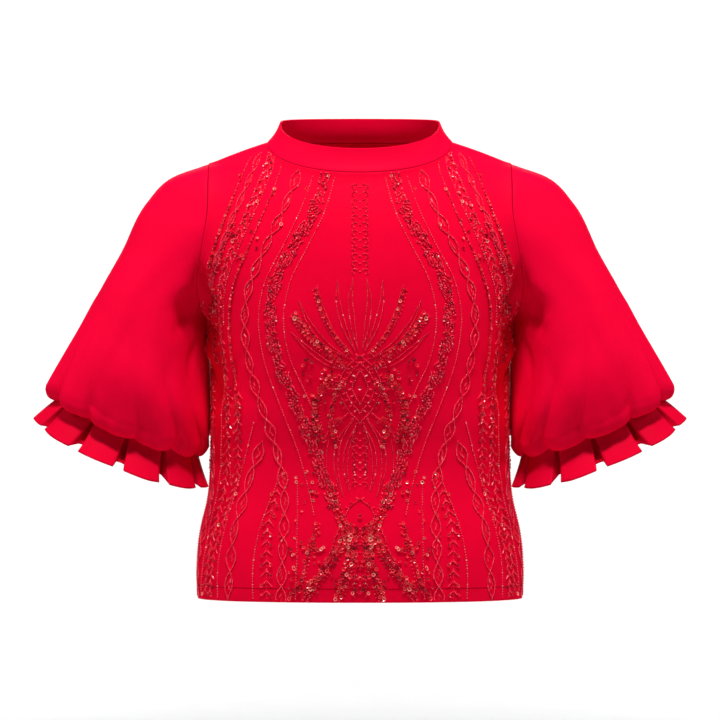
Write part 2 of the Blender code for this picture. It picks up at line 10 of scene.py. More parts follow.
import bpy
import numpy as np
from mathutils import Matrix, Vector

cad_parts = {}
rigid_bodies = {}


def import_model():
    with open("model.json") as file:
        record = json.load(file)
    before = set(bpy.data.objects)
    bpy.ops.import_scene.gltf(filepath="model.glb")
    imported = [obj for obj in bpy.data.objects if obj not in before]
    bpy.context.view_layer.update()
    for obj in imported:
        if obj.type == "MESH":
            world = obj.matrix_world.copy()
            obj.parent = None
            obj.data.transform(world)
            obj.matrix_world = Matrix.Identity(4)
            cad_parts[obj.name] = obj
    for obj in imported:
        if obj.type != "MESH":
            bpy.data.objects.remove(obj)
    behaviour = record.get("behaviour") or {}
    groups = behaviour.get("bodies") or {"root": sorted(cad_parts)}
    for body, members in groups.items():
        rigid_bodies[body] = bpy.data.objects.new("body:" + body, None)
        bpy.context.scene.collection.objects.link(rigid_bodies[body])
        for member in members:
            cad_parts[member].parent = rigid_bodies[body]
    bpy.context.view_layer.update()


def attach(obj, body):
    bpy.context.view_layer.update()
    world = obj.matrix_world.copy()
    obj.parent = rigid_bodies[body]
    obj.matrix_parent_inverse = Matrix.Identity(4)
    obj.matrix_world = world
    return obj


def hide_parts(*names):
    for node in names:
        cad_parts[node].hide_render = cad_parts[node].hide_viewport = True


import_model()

bl_info = {
    "name": "Balloon Sleeve Top",
    "version": (1, 0, 0),
    "blender": (4, 5, 0),
    "location": "View3D > Sidebar > Balloon Top",
    "description": "Cloth, seams, beadwork and studio for a top with balloon sleeves",
    "category": "Add Mesh",
}

MM = 0.001

# Outline of the shoulders and the neck, as in the solids
SHOULDER_HALF_WIDTH = 178.0
SHOULDER_DROP = 26.0
SHOULDER_ARCH = 1.0
NECK_HALF_WIDTH = 108.5
NECK_FRONT_DEPTH = 82.0
NECK_BACK_DEPTH = 66.0
NECK_FRONT_DROP = 39.0
NECK_BACK_RISE = 2.0
NECK_FULLNESS = 2.1

# Stand collar, at its top edge
COLLAR_TOP_HALF_WIDTH = 94.5
COLLAR_TOP_FRONT_DEPTH = 72.0
COLLAR_TOP_BACK_DEPTH = 60.0
COLLAR_TOP_SIDE = 21.0
COLLAR_TOP_FRONT = -10.5
COLLAR_TOP_BACK = 30.5
COLLAR_BACK_RISE = 0.45
COLLAR_HOLLOW = 1.6
COLLAR_HEIGHT = 28.0

# Level rings round the body, from the hem up to the underarm
BODICE_RINGS = (
    # height, half width, front depth, back depth
    (-537.5, 191, 122, 112),
    (-500, 192, 123, 113),
    (-460, 188.5, 119, 109),
    (-420, 179.5, 112, 104),
    (-375, 176, 108, 100),
    (-330, 175.5, 113, 101),
    (-285, 175.5, 122, 104),
    (-245, 177, 128, 108),
    (-222, 180.5, 127, 110),
    (-204, 184, 125, 111),
)
RING_FULLNESS = 2.35
HEM_HEIGHT = BODICE_RINGS[0][0]
UNDERARM_HEIGHT = BODICE_RINGS[-1][0]
QUARTER_LENGTH = 238.0
MIRROR = (-1, 1, 1)

# Centre lines above the underarm
FRONT_CENTRE = (
    # forward, height
    (125, UNDERARM_HEIGHT),
    (121, -165),
    (112, -118),
    (99, -74),
    (NECK_FRONT_DEPTH, -NECK_FRONT_DROP),
)
BACK_CENTRE = (
    # backward, height
    (111, UNDERARM_HEIGHT),
    (112, -155),
    (107, -100),
    (92, -45),
    (NECK_BACK_DEPTH, NECK_BACK_RISE),
)

# Largest folds of the bodice, as in the solids; a negative depth is a ridge
FRONT_FOLDS = (
    # height, place from centre to side, depth, half width, half length
    (-292, 0.80, 5.5, 17, 48),
    (-262, 0.93, -2.5, 14, 36),
    (-196, 0.86, 4, 18, 24),
    (-455, 0.74, 4, 22, 60),
    (-480, 0.42, 2.5, 26, 55),
)
BACK_FOLDS = (
    # height, place from centre to side, depth, half width, half length
    (-300, 0.76, 5, 20, 55),
    (-205, 0.84, 4.5, 19, 30),
    (-440, 0.66, 4.5, 24, 70),
    (-360, 0.28, 3, 24, 60),
    (-455, 0.12, -2.5, 26, 60),
)
FOLD_STRETCH = 1.25 * BODICE_RINGS[0][1]

# Creases laid over the folds, from one end to the other
FRONT_CREASES = (
    # across at the start, height there, across at the end, height there, depth, width
    (148, -250, 176, -338, 3.4, 5),
    (160, -262, 190, -330, -1.6, 6),
    (231, -178, 186, -230, 3, 6.5),
    (216, -158, 178, -186, -1.8, 6),
    (229, -206, 196, -268, 2.6, 7),
    (206, -150, 160, -158, 1.4, 6),
    (206, -420, 190, -520, 2.4, 8),
    (150, -455, 140, -528, 1.6, 9),
    (212, -365, 170, -392, 1.6, 7),
    (240, -146, 188, -196, 8, 6),
    (244, -176, 200, -214, -6, 6.5),
    (246, -198, 196, -234, 9, 5.5),
    (246, -226, 208, -258, -5, 7),
    (244, -246, 206, -288, 6, 6),
)
BACK_CREASES = (
    # across at the start, height there, across at the end, height there, depth, width
    (146, -256, 172, -335, 3.2, 5.5),
    (229, -180, 178, -232, 3, 7),
    (214, -150, 172, -176, -1.8, 6),
    (226, -212, 188, -280, 2.4, 7.5),
    (60, -352, 150, -332, 1.8, 9),
    (30, -384, 128, -372, 1.6, 8),
    (206, -392, 150, -410, 1.8, 8),
    (176, -430, 158, -526, 2.6, 10),
    (96, -450, 88, -530, 2, 11),
    (20, -70, 84, -92, 1.2, 8),
)

# Armhole seam from the underarm up to the shoulder
ARMHOLE = (
    # outward, height, forward on the front, backward on the back
    (184, UNDERARM_HEIGHT, 0, 0),
    (189, -188, 32, 34),
    (191, -167, 50, 53),
    (188, -143, 59, 62),
    (183, -114, 62, 65),
    (178.5, -84, 57, 60),
    (178, -52, 41, 43),
    (178, -32.5, 21, 22),
    (SHOULDER_HALF_WIDTH, -SHOULDER_DROP, 0, 0),
)

# Sleeve axis, from the middle of the armhole down and outward
SLEEVE_START_OUT = 185.0
SLEEVE_START_HEIGHT = -110.0
SLEEVE_LEAN = math.radians(22.0)
SLEEVE_TIP_FORWARD = math.tan(math.radians(6.0))
SLEEVE_FULLNESS = 2.15

SLEEVE_RINGS = (
    # distance down the axis, outer reach, inner reach, half depth
    (-80, 25, 36, 48),
    (-50, 59, 36, 57),
    (-9, 76.5, 36, 64),
    (55, 82, 35, 69),
    (97, 87, 36.5, 74),
    (106, 88, 43, 75.5),
    (122, 90.5, 54, 78),
    (150, 94.5, 69, 82),
    (180, 98.5, 81.4, 86),
    (210, 102, 93, 89),
    (228, 103.5, 99, 90),
)
PUFF_WIDEST = SLEEVE_RINGS[-1][0]
PUFF_TURN = (
    # drop below the widest ring, distance inward
    (5.5, 1.5),
    (10.5, 5),
    (13.5, 9.5),
    (14, 14),
    (12, 18),
    (9, 21),
)
PUFF_INNER_TURN = 0.5
PUFF_FRONT_TURN = 0.45
PUFF_SEAM = PUFF_WIDEST + PUFF_TURN[-1][0]
PUFF_FRONT_DROOP = 10.0
GATHERS = 12
GATHER_DEPTH = 2.2
GATHER_START = 0.42
GATHER_INNER = 0.2
GATHER_DRIFT = 0.9
GATHER_SINK = 0.25
SEAM_BLEND = 0.6
SLEEVE_FOLDS = (
    # place down the sleeve, degrees round it, depth, half width, half length
    (0.26, 128, 3, 15, 0.20),
    (0.46, 150, 12, 24, 0.26),
    (0.30, 236, 3, 16, 0.22),
    (0.48, 226, 6, 14, 0.25),
    (0.42, 78, 3, 16, 0.25),
    (0.45, 292, 3.5, 18, 0.26),
    (0.62, 38, 2.5, 14, 0.22),
)
SLEEVE_RESTS = (
    # where the sleeve bulges to rest against the body, in the same columns
    (0.48, 207, -7, 17, 0.30),
    (0.10, 202, -9, 22, 0.13),
    (0.82, 206, -6, 16, 0.15),
)
SLEEVE_CREASES = (
    # degrees at the start, place down the sleeve there, degrees and place at the end,
    # depth, width
    (158, 0.05, 112, 0.46, 3, 7),
    (170, 0.12, 138, 0.62, 2.4, 8),
    (140, 0.02, 96, 0.24, -1.6, 7),
    (120, 0.48, 108, 0.90, 1.8, 9),
    (76, 0.55, 70, 0.95, 1.8, 9),
    (34, 0.60, 40, 0.97, 1.6, 9),
    (204, 0.05, 244, 0.46, 3, 7.5),
    (192, 0.14, 222, 0.60, 2.4, 8),
    (238, 0.45, 252, 0.92, 1.8, 9),
    (286, 0.52, 294, 0.95, 1.8, 9),
    (328, 0.60, 322, 0.96, 1.6, 9),
    (8, 0.66, 2, 0.97, 1.4, 9),
)
SLEEVE_DEGREE = 1.5
SLEEVE_LENGTH = 250.0
FINE_GATHERS = 31
FINE_GATHER_DEPTH = 0.5
FINE_DRIFT = 1.7

# Lobes above the puff's lip, its roll inward and the belly over it, as shares of the sleeve
SCALLOPS = 11
SCALLOP_SLANT = 1.1
SCALLOP_DEPTH = 14.5
SCALLOP_MEAN = 0.80
SCALLOP_DRIFT = 0.35
SCALLOP_UNEVEN = 0.3
SCALLOP_INNER = 0.35
SCALLOP_SAG = 1.1
ROLL_DEPTH = 5.0
ROLL_START = 0.80
BELLY_DEPTH = 6.0
BELLY_PLACE = 0.78
BELLY_LENGTH = 0.14

# Box-pleated ruffle
PLEATS = 11
PLEAT_DEPTH_TOP = 3.0
PLEAT_DEPTH_HEM = 23.0
PLEAT_LIFT = 2.5
PLEAT_FACE_TOP = 0.92
PLEAT_FACE_HEM = 0.77
PLEAT_EDGE = 0.03
PLEAT_BOW = 0.16
PLEAT_FLOOR = 0.93
PLEAT_FLOOR_RISE = 0.07
PLEAT_UNEVEN = 0.16
RUFFLE_DROP = 35.0
RUFFLE_FRONT_EXTRA = 7.0
RUFFLE_FLARE_OUTER = 19.0
RUFFLE_FLARE_INNER = 25.0
RUFFLE_FLARE_DEPTH = 29.0
RUFFLE_OPENING_FRONT = 3.0
RUFFLE_OPENING_OUTER = 0.75
RUFFLE_OPENING_INNER = 1.2

# Thickness of the visible cloth
BODICE_CLOTH = 1.1
SLEEVE_CLOTH = 0.9
RUFFLE_CLOTH = 0.8
COLLAR_CLOTH = 2.0
SEAM_SWELL = 0.7
SEAM_SOFTNESS = 2.4

# Mesh density of the solids' own grid and of the finer one laid through it
TUBE_SEGMENTS = 11
YOKE_SEGMENTS = 12
NECK_SEGMENTS = 6
SHOULDER_SEGMENTS = 5
RELAX_PASSES = 8
CURVE_STEPS = 24
BODICE_FINENESS = 6
SLEEVE_COLUMNS = 216
SLEEVE_SKIN_ROWS = 60
SLEEVE_TURN_ROWS = 24
RUFFLE_ROW_COUNT = 22
COLLAR_QUARTER = 36
COLLAR_ROWS = 14

# How far the creases fade out and the edges are drawn onto their seams
EDGE_BLEND = 1.5
SIDE_CALM = 9.0
TOP_CALM = 12.0
YOKE_ROW_HEIGHT = 14.0
SLEEVE_CALM = 0.05


def smooth_values(table, places):
    """Read every column of a table at the given places of its first column."""
    table = np.asarray(table, float)
    knots, values = table[:, 0], table[:, 1:]
    slopes = np.gradient(values, knots, axis=0)
    places = np.atleast_1d(places)
    index = np.clip(np.searchsorted(knots, places) - 1, 0, len(knots) - 2)
    span = (knots[index + 1] - knots[index])[:, None]
    t = np.clip((places[:, None] - knots[index][:, None]) / span, 0.0, 1.0)
    start = (2 * t**3 - 3 * t**2 + 1) * values[index]
    start_slope = (t**3 - 2 * t**2 + t) * span * slopes[index]
    end = (3 * t**2 - 2 * t**3) * values[index + 1]
    end_slope = (t**3 - t**2) * span * slopes[index + 1]
    return start + start_slope + end + end_slope


def lengths_along(points):
    """Distance along a line of points, from its start to each of them."""
    steps = np.linalg.norm(np.diff(points, axis=0), axis=1)
    return np.concatenate([[0.0], np.cumsum(steps)])


def along(points, shares):
    """Points at the given shares of the length of a line of closely set points."""
    points = np.asarray(points, float)
    length = lengths_along(points)
    wanted = np.asarray(shares) * length[-1]
    return np.column_stack([np.interp(wanted, length, axis) for axis in points.T])


def smooth_path(knots, shares):
    """Points at shares of a smooth curve through the knots."""
    knots = np.asarray(knots, float)
    length = lengths_along(knots)
    places = np.linspace(0.0, length[-1], CURVE_STEPS * len(knots))
    return along(smooth_values(np.column_stack([length, knots]), places), shares)


def even(segments):
    """Shares that divide a line into equal segments."""
    return np.linspace(0.0, 1.0, segments + 1)


def quarter_ring(half_width, depth, fullness, shares):
    """A quarter of a rounded ring in plan, from its centre line to its side."""
    angle = np.linspace(0.0, math.pi / 2, CURVE_STEPS * 8)
    out = half_width * np.sin(angle) ** (2 / fullness)
    forward = depth * np.cos(angle) ** (2 / fullness)
    return along(np.column_stack([out, forward]), shares)


def neck_quarter(half_width, depth, centre_height, side_height, side, shares, rise=1.0):
    """A quarter of a neck ring, from its centre line to its side."""
    plan = quarter_ring(half_width, depth, NECK_FULLNESS, shares)
    share = np.clip(plan[:, 1] / depth, 0.0, 1.0) ** rise
    height = side_height + (centre_height - side_height) * share
    return np.column_stack([plan[:, 0], side * plan[:, 1], height])


def neckline(side, shares):
    """Seam between bodice and collar, from the centre line to the shoulder."""
    depth, height = ((NECK_FRONT_DEPTH, -NECK_FRONT_DROP) if side < 0
                     else (NECK_BACK_DEPTH, NECK_BACK_RISE))
    return neck_quarter(NECK_HALF_WIDTH, depth, height, 0.0, side, shares)


def shoulder_seam(shares):
    """Shoulder seam from the collar to the armhole, a little arched."""
    shares = np.asarray(shares)
    run = SHOULDER_HALF_WIDTH - NECK_HALF_WIDTH
    arch = SHOULDER_ARCH * np.sin(math.pi * shares)
    return np.column_stack([NECK_HALF_WIDTH + run * shares, np.zeros_like(shares),
                            arch - SHOULDER_DROP * shares])


def armhole(side, shares):
    """Armhole seam from the underarm to the shoulder; side is -1 on the front."""
    column = 2 if side < 0 else 3
    return smooth_path([(row[0], side * row[column], row[1]) for row in ARMHOLE], shares)


def patch(bottom, top, inner, outer):
    """Surface grid that fills the space between four edge curves."""
    v = even(len(inner) - 1)[:, None, None]
    u = even(len(bottom) - 1)[None, :, None]
    between_ends = (1 - v) * bottom[None] + v * top[None]
    between_sides = (1 - u) * inner[:, None] + u * outer[:, None]
    corners = (1 - v) * ((1 - u) * bottom[0] + u * bottom[-1])
    corners = corners + v * ((1 - u) * top[0] + u * top[-1])
    return between_ends + between_sides - corners


def grid_normals(grid, closed, flip):
    """Unit normals of a grid at its points."""
    if closed:
        across = np.roll(grid, -1, axis=1) - np.roll(grid, 1, axis=1)
    else:
        across = np.gradient(grid, axis=1)
    normal = np.cross(across, np.gradient(grid, axis=0))
    length = np.linalg.norm(normal, axis=2)[..., None]
    return (-normal if flip else normal) / np.maximum(length, 1e-9)


def face_mean_normals(grid, flip):
    """Mean of the unit normals of the faces round each point, as in the solids."""
    face = np.cross(grid[1:, 1:] - grid[:-1, :-1], grid[1:, :-1] - grid[:-1, 1:])
    face = face / np.linalg.norm(face, axis=2)[..., None] * (-1 if flip else 1)
    rows, columns = grid.shape[:2]
    total, count = np.zeros((rows, columns, 3)), np.zeros((rows, columns, 1))
    for row in (0, 1):
        for column in (0, 1):
            part = (slice(row, row + rows - 1), slice(column, column + columns - 1))
            total[part] += face
            count[part] += 1
    return total / count


def frame_grid(side):
    """The solids' own grid of one half panel, rows from hem to top."""
    columns = NECK_SEGMENTS + SHOULDER_SEGMENTS
    heights = np.linspace(HEM_HEIGHT, UNDERARM_HEIGHT, TUBE_SEGMENTS + 1)
    tube = []
    for height, (half_width, front, back) in zip(
            heights, smooth_values(BODICE_RINGS, heights)):
        plan = quarter_ring(half_width, front if side < 0 else back, RING_FULLNESS,
                            even(columns))
        tube.append(np.column_stack([
            plan[:, 0], side * plan[:, 1], np.full(columns + 1, height)]))
    centre = [(0.0, side * y, z) for y, z in (FRONT_CENTRE if side < 0 else BACK_CENTRE)]
    centre_line = smooth_path(centre, even(YOKE_SEGMENTS))
    top = np.vstack([neckline(side, even(NECK_SEGMENTS)),
                     shoulder_seam(even(SHOULDER_SEGMENTS))[1:]])
    edge = armhole(side, even(YOKE_SEGMENTS))
    yoke = patch(tube[-1], top, centre_line, edge)
    rise = even(YOKE_SEGMENTS)[:, None]
    roundness = ((1 - rise) * tube[-1][None, :, 1] / tube[-1][0, 1]
                 + rise * top[None, :, 1] / top[0, 1])
    yoke[:, :, 1] = edge[:, None, 1] + (centre_line - edge)[:, None, 1] * roundness
    yoke[:, -1], yoke[-1] = edge, top
    grid = np.vstack([np.array(tube), yoke[1:]])
    first = TUBE_SEGMENTS - 3
    for _ in range(RELAX_PASSES):
        inside = grid[first:-1, :-1]
        beside = np.concatenate([grid[first:-1, 1:2] * MIRROR, grid[first:-1, :-2]],
                                axis=1)
        nearby = grid[first + 1:, :-1] + grid[first - 1:-2, :-1] + beside + grid[first:-1, 1:]
        grid[first:-1, :-1] = (nearby + 4 * inside) / 8
    place = even(columns)[None, :]
    push = np.zeros(grid.shape[:2])
    for height, across, depth, half_width, half_length in (
            FRONT_FOLDS if side < 0 else BACK_FOLDS):
        beside = (place - across) * FOLD_STRETCH / half_width
        push += depth * np.exp(-beside**2 - ((grid[:, :, 2] - height) / half_length) ** 2)
    push[:, -1] = push[-1] = 0.0
    grid = grid - push[..., None] * face_mean_normals(grid, side > 0)
    grid[:, 0, 0] = 0.0
    return grid


def finer_places(segments, corners, fineness, close=(0.06, 0.14, 0.26)):
    """Places between the grid's own lines, set closer beside the named lines."""
    places = set(np.round(np.linspace(0, segments, segments * fineness + 1), 6))
    for corner in corners:
        for step in close:
            for place in (corner - step, corner + step):
                if 0 < place < segments:
                    places.add(round(place, 6))
    return np.array(sorted(places))


def laid_through(grid, rows, columns):
    """Smooth surface through a grid, read at finer rows and columns."""
    for places in (rows, columns):
        count, width = grid.shape[:2]
        table = np.column_stack([np.arange(count), grid.reshape(count, -1)])
        grid = smooth_values(table, places).reshape(len(places), width, 3).transpose(1, 0, 2)
    return grid


def crease_push(across, height, creases):
    """Inward push of soft creases that each run from one end to the other."""
    push = np.zeros_like(across)
    for x0, z0, x1, z1, depth, width in creases:
        run = np.array([x1 - x0, z1 - z0])
        length = np.linalg.norm(run)
        share = ((across - x0) * run[0] + (height - z0) * run[1]) / length**2
        nearest = np.clip(share, 0.0, 1.0)
        off = np.hypot(across - x0 - nearest * run[0], height - z0 - nearest * run[1])
        bend = width * (0.75 + 0.6 * nearest)
        taper = np.sin(math.pi * nearest) ** 0.8
        push += depth * taper * np.exp(-(off / bend) ** 2)
    return push


def edge_sink(distance):
    """Inward push beside a seam: the cloth swells a little next to the seam line."""
    reach = distance / SEAM_SOFTNESS
    return -SEAM_SWELL * reach * np.exp(1 - reach)


def bodice_grid(side):
    """Fine grid of a whole panel, its columns from the viewer's left to the right."""
    segments = NECK_SEGMENTS + SHOULDER_SEGMENTS
    total = TUBE_SEGMENTS + YOKE_SEGMENTS
    rows = finer_places(total, (0, TUBE_SEGMENTS, total), BODICE_FINENESS)
    columns = finer_places(segments, (NECK_SEGMENTS, segments), BODICE_FINENESS)
    grid = laid_through(frame_grid(side), rows, columns)

    in_tube = rows <= TUBE_SEGMENTS
    heights = HEM_HEIGHT + (UNDERARM_HEIGHT - HEM_HEIGHT) * rows[in_tube] / TUBE_SEGMENTS
    widths = smooth_values(BODICE_RINGS, heights)[:, 0]
    side_line = np.vstack([
        np.column_stack([widths, np.zeros_like(widths), heights]),
        armhole(side, (rows[~in_tube] - TUBE_SEGMENTS) / YOKE_SEGMENTS)])
    near_side = np.clip((columns - (segments - EDGE_BLEND)) / EDGE_BLEND, 0.0, 1.0) ** 2
    grid += (side_line - grid[:, -1])[:, None] * near_side[None, :, None]

    on_neck = columns <= NECK_SEGMENTS
    top_line = np.vstack([
        neckline(side, columns[on_neck] / NECK_SEGMENTS),
        shoulder_seam((columns[~on_neck] - NECK_SEGMENTS) / SHOULDER_SEGMENTS)])
    near_top = np.clip((rows - (total - EDGE_BLEND)) / EDGE_BLEND, 0.0, 1.0) ** 2
    grid += (top_line - grid[-1])[None] * near_top[:, None, None]

    across = np.broadcast_to(columns / segments * QUARTER_LENGTH, grid.shape[:2])
    push = crease_push(across, grid[:, :, 2], FRONT_CREASES if side < 0 else BACK_CREASES)
    from_side = (segments - columns)[None, :] * QUARTER_LENGTH / segments
    from_top = (total - rows)[:, None] * YOKE_ROW_HEIGHT
    calm = np.minimum(from_side / SIDE_CALM, 1.0) * np.minimum(from_top / TOP_CALM, 1.0)
    push = push * calm**0.7 + edge_sink(from_side) + edge_sink(from_top)
    grid = grid - push[..., None] * grid_normals(grid, False, side > 0)
    grid[:, 0, 0] = 0.0
    left = grid[:, ::-1] * MIRROR
    return np.concatenate([left[:, :-1], grid], axis=1)


def sleeve_axes():
    """Directions down the sleeve and outward across it, in the XZ plane."""
    down = np.array([math.sin(SLEEVE_LEAN), 0.0, -math.cos(SLEEVE_LEAN)])
    across = np.array([math.cos(SLEEVE_LEAN), 0.0, math.sin(SLEEVE_LEAN)])
    return down, across


SLEEVE_START = np.array([SLEEVE_START_OUT, 0.0, SLEEVE_START_HEIGHT])


def sleeve_point(distance, across_reach, forward):
    """Place in space of a point given along and across the sleeve."""
    down, across = sleeve_axes()
    tipped = distance + SLEEVE_TIP_FORWARD * forward * np.clip(distance / PUFF_WIDEST, 0, 1)
    return (SLEEVE_START + tipped[..., None] * down + across_reach[..., None] * across
            + forward[..., None] * np.array([0.0, -1.0, 0.0]))


def ring_shape(angle):
    """Across and forward shares of the sleeve's rounded ring."""
    return tuple(np.sign(share) * np.abs(share) ** (2 / SLEEVE_FULLNESS)
                 for share in (np.cos(angle), np.sin(angle)))


def sleeve_skin(distance, angle, inward):
    """Points of the sleeve's skin, moved in from it by the given distance."""
    outer, inner, depth = np.moveaxis(
        smooth_values(SLEEVE_RINGS, distance.ravel()).reshape(distance.shape + (3,)), -1, 0)
    across, forward = ring_shape(angle)
    centre, half = (outer - inner) / 2, (outer + inner) / 2 - inward
    return centre + half * across, (depth - inward) * forward


def gather_share(angle):
    """Share of the gathers' depth round the sleeve, least beside the body."""
    return GATHER_INNER + (1 - GATHER_INNER) * (1 + np.cos(angle)) / 2


def turn_share(angle):
    """Share of the puff's inward turn round the sleeve, least beside the body."""
    inner_side = (1 - np.cos(angle)) / 2
    return 1 - (1 - PUFF_INNER_TURN) * inner_side + PUFF_FRONT_TURN * np.sin(angle) ** 2


def sleeve_folds(share, angle):
    """Depth of the largest folds at one row of the sleeve."""
    depth = np.zeros_like(angle)
    for place, degrees, fold_depth, half_width, half_length in SLEEVE_FOLDS + SLEEVE_RESTS:
        turn = (np.degrees(angle) - degrees + 180) % 360 - 180
        depth += fold_depth * np.exp(-(turn / half_width) ** 2
                                     - ((share - place) / half_length) ** 2)
    return depth


def scallop_push(angle, grown):
    """Outward push of the lobes above the lip, and the share of each lobe."""
    slanted = angle + SCALLOP_SLANT * (1 - grown) * np.sin(angle / 2) ** 2
    drift = SCALLOP_DRIFT * np.sin(2 * slanted + 0.6)
    lobe = np.abs(np.sin(SCALLOPS / 2 * slanted + drift)) ** 0.8
    uneven = 0.85 + SCALLOP_UNEVEN * np.sin(2.6 * angle + 1.0) * np.sin(angle / 2)
    reach = SCALLOP_INNER + (1 - SCALLOP_INNER) * gather_share(angle)
    return SCALLOP_DEPTH * (lobe - SCALLOP_MEAN) * uneven * reach, lobe


def sleeve_grid():
    """Fine grid of the right sleeve, from the armhole to the seam under the puff."""
    turn = even(SLEEVE_COLUMNS)[:-1]
    angle = 2 * math.pi * turn
    front = turn <= 0.5
    ring = np.vstack([armhole(-1, 1 - 2 * turn[front]), armhole(1, 2 * turn[~front] - 1)])
    down, across = sleeve_axes()
    rel = ring - SLEEVE_START
    start, start_across, start_forward = rel @ down, rel @ across, -rel[:, 1]
    wave = np.sin(GATHERS * angle + GATHER_DRIFT * np.sin(2 * angle)) - GATHER_SINK
    fine = np.sin(FINE_GATHERS * angle + FINE_DRIFT * np.sin(3 * angle)) * gather_share(angle)
    full_gather = GATHER_DEPTH * wave * gather_share(angle) + FINE_GATHER_DEPTH * fine
    pull_across, pull_forward = ring_shape(angle)
    first_across, first_forward = sleeve_skin(start, angle, 0.0)
    first_across, first_forward = start_across - first_across, start_forward - first_forward
    early_tip = SLEEVE_TIP_FORWARD * start_forward * np.clip(start / PUFF_WIDEST, 0, 1)
    shares = np.unique(np.concatenate([even(SLEEVE_SKIN_ROWS), [0.004, 0.009, 0.024, 0.04]]))
    creases = [(a * SLEEVE_DEGREE, s * SLEEVE_LENGTH, b * SLEEVE_DEGREE, t * SLEEVE_LENGTH, d, w)
               for a, s, b, t, d, w in SLEEVE_CREASES]
    roll = ROLL_DEPTH * np.sin(angle) ** 2
    rows = []
    for share in shares:
        distance = start + (PUFF_WIDEST - start) * share
        skin_across, skin_forward = sleeve_skin(distance, angle, 0.0)
        blend = min(share / SEAM_BLEND, 1.0)
        fade = (1 - blend) ** 2 * (1 + 2 * blend)
        grown = max(0.0, share - GATHER_START) / (1 - GATHER_START)
        gather = GATHER_DEPTH * grown * wave * gather_share(angle) - sleeve_folds(share, angle)
        scallop, lobe = scallop_push(angle, grown)
        gather = gather + FINE_GATHER_DEPTH * grown**3 * fine + scallop * grown**4
        sag = SCALLOP_SAG * (full_gather + scallop) * grown**4
        rolled = max(0.0, share - ROLL_START) / (1 - ROLL_START)
        belly = BELLY_DEPTH * np.exp(-((share - BELLY_PLACE) / BELLY_LENGTH) ** 2)
        gather = gather - roll * rolled**2 + belly * np.sin(angle) ** 2 * (0.5 + 0.5 * lobe)
        creased = crease_push(np.degrees(angle) * SLEEVE_DEGREE,
                              np.full_like(angle, share * SLEEVE_LENGTH), creases)
        calm = min(share / SLEEVE_CALM, 1.0)
        gather = gather * calm - creased * calm - edge_sink(share * SLEEVE_LENGTH)
        rows.append(sleeve_point(
            distance - fade * early_tip + sag,
            skin_across + fade * first_across + gather * pull_across,
            skin_forward + fade * first_forward + gather * pull_forward))
    path = np.array([(0.0, 0.0)] + list(PUFF_TURN))
    for drop, inward in smooth_path(path, even(SLEEVE_TURN_ROWS))[1:]:
        widest = np.full(len(angle), PUFF_WIDEST)
        skin_across, skin_forward = sleeve_skin(widest, angle, inward * turn_share(angle))
        left = 1 - inward / PUFF_TURN[-1][1]
        gather = full_gather * left + scallop * left**0.5
        tucked = gather - roll * left
        droop = PUFF_FRONT_DROOP * np.sin(angle) ** 2 * drop / PUFF_TURN[2][0] * left
        rows.append(sleeve_point(widest + drop + droop + SCALLOP_SAG * gather,
                                 skin_across + tucked * pull_across,
                                 skin_forward + tucked * pull_forward))
    return np.array(rows)


def pleat_profile(place, face_share):
    """Share of the pleat's depth at a place across one pleat."""
    recess_start, recess_end = face_share + PLEAT_EDGE, 1 - PLEAT_EDGE
    face = -PLEAT_BOW * np.sin(math.pi * np.clip(place / face_share, 0, 1))
    turn_in = np.clip((place - face_share) / PLEAT_EDGE, 0, 1)
    turn_out = np.clip((place - recess_end) / PLEAT_EDGE, 0, 1)
    inside = np.clip((place - recess_start) / (recess_end - recess_start), 0, 1)
    floor = PLEAT_FLOOR + PLEAT_FLOOR_RISE * np.sin(math.pi * inside)
    ease_in, ease_out = (turn**2 * (3 - 2 * turn) for turn in (turn_in, turn_out))
    return face + floor * ease_in * (1 - ease_out)


def pleat_places(face_share):
    """Places across one pleat, closer at its folds."""
    face = np.linspace(0.0, face_share, 15)
    fold_in = face_share + PLEAT_EDGE * np.array([0.2, 0.4, 0.6, 0.8, 1.0])
    floor = np.linspace(face_share + PLEAT_EDGE, 1 - PLEAT_EDGE, 6)[1:]
    fold_out = 1 - PLEAT_EDGE * np.array([0.8, 0.6, 0.4, 0.2])
    return np.concatenate([face, fold_in, floor, fold_out])


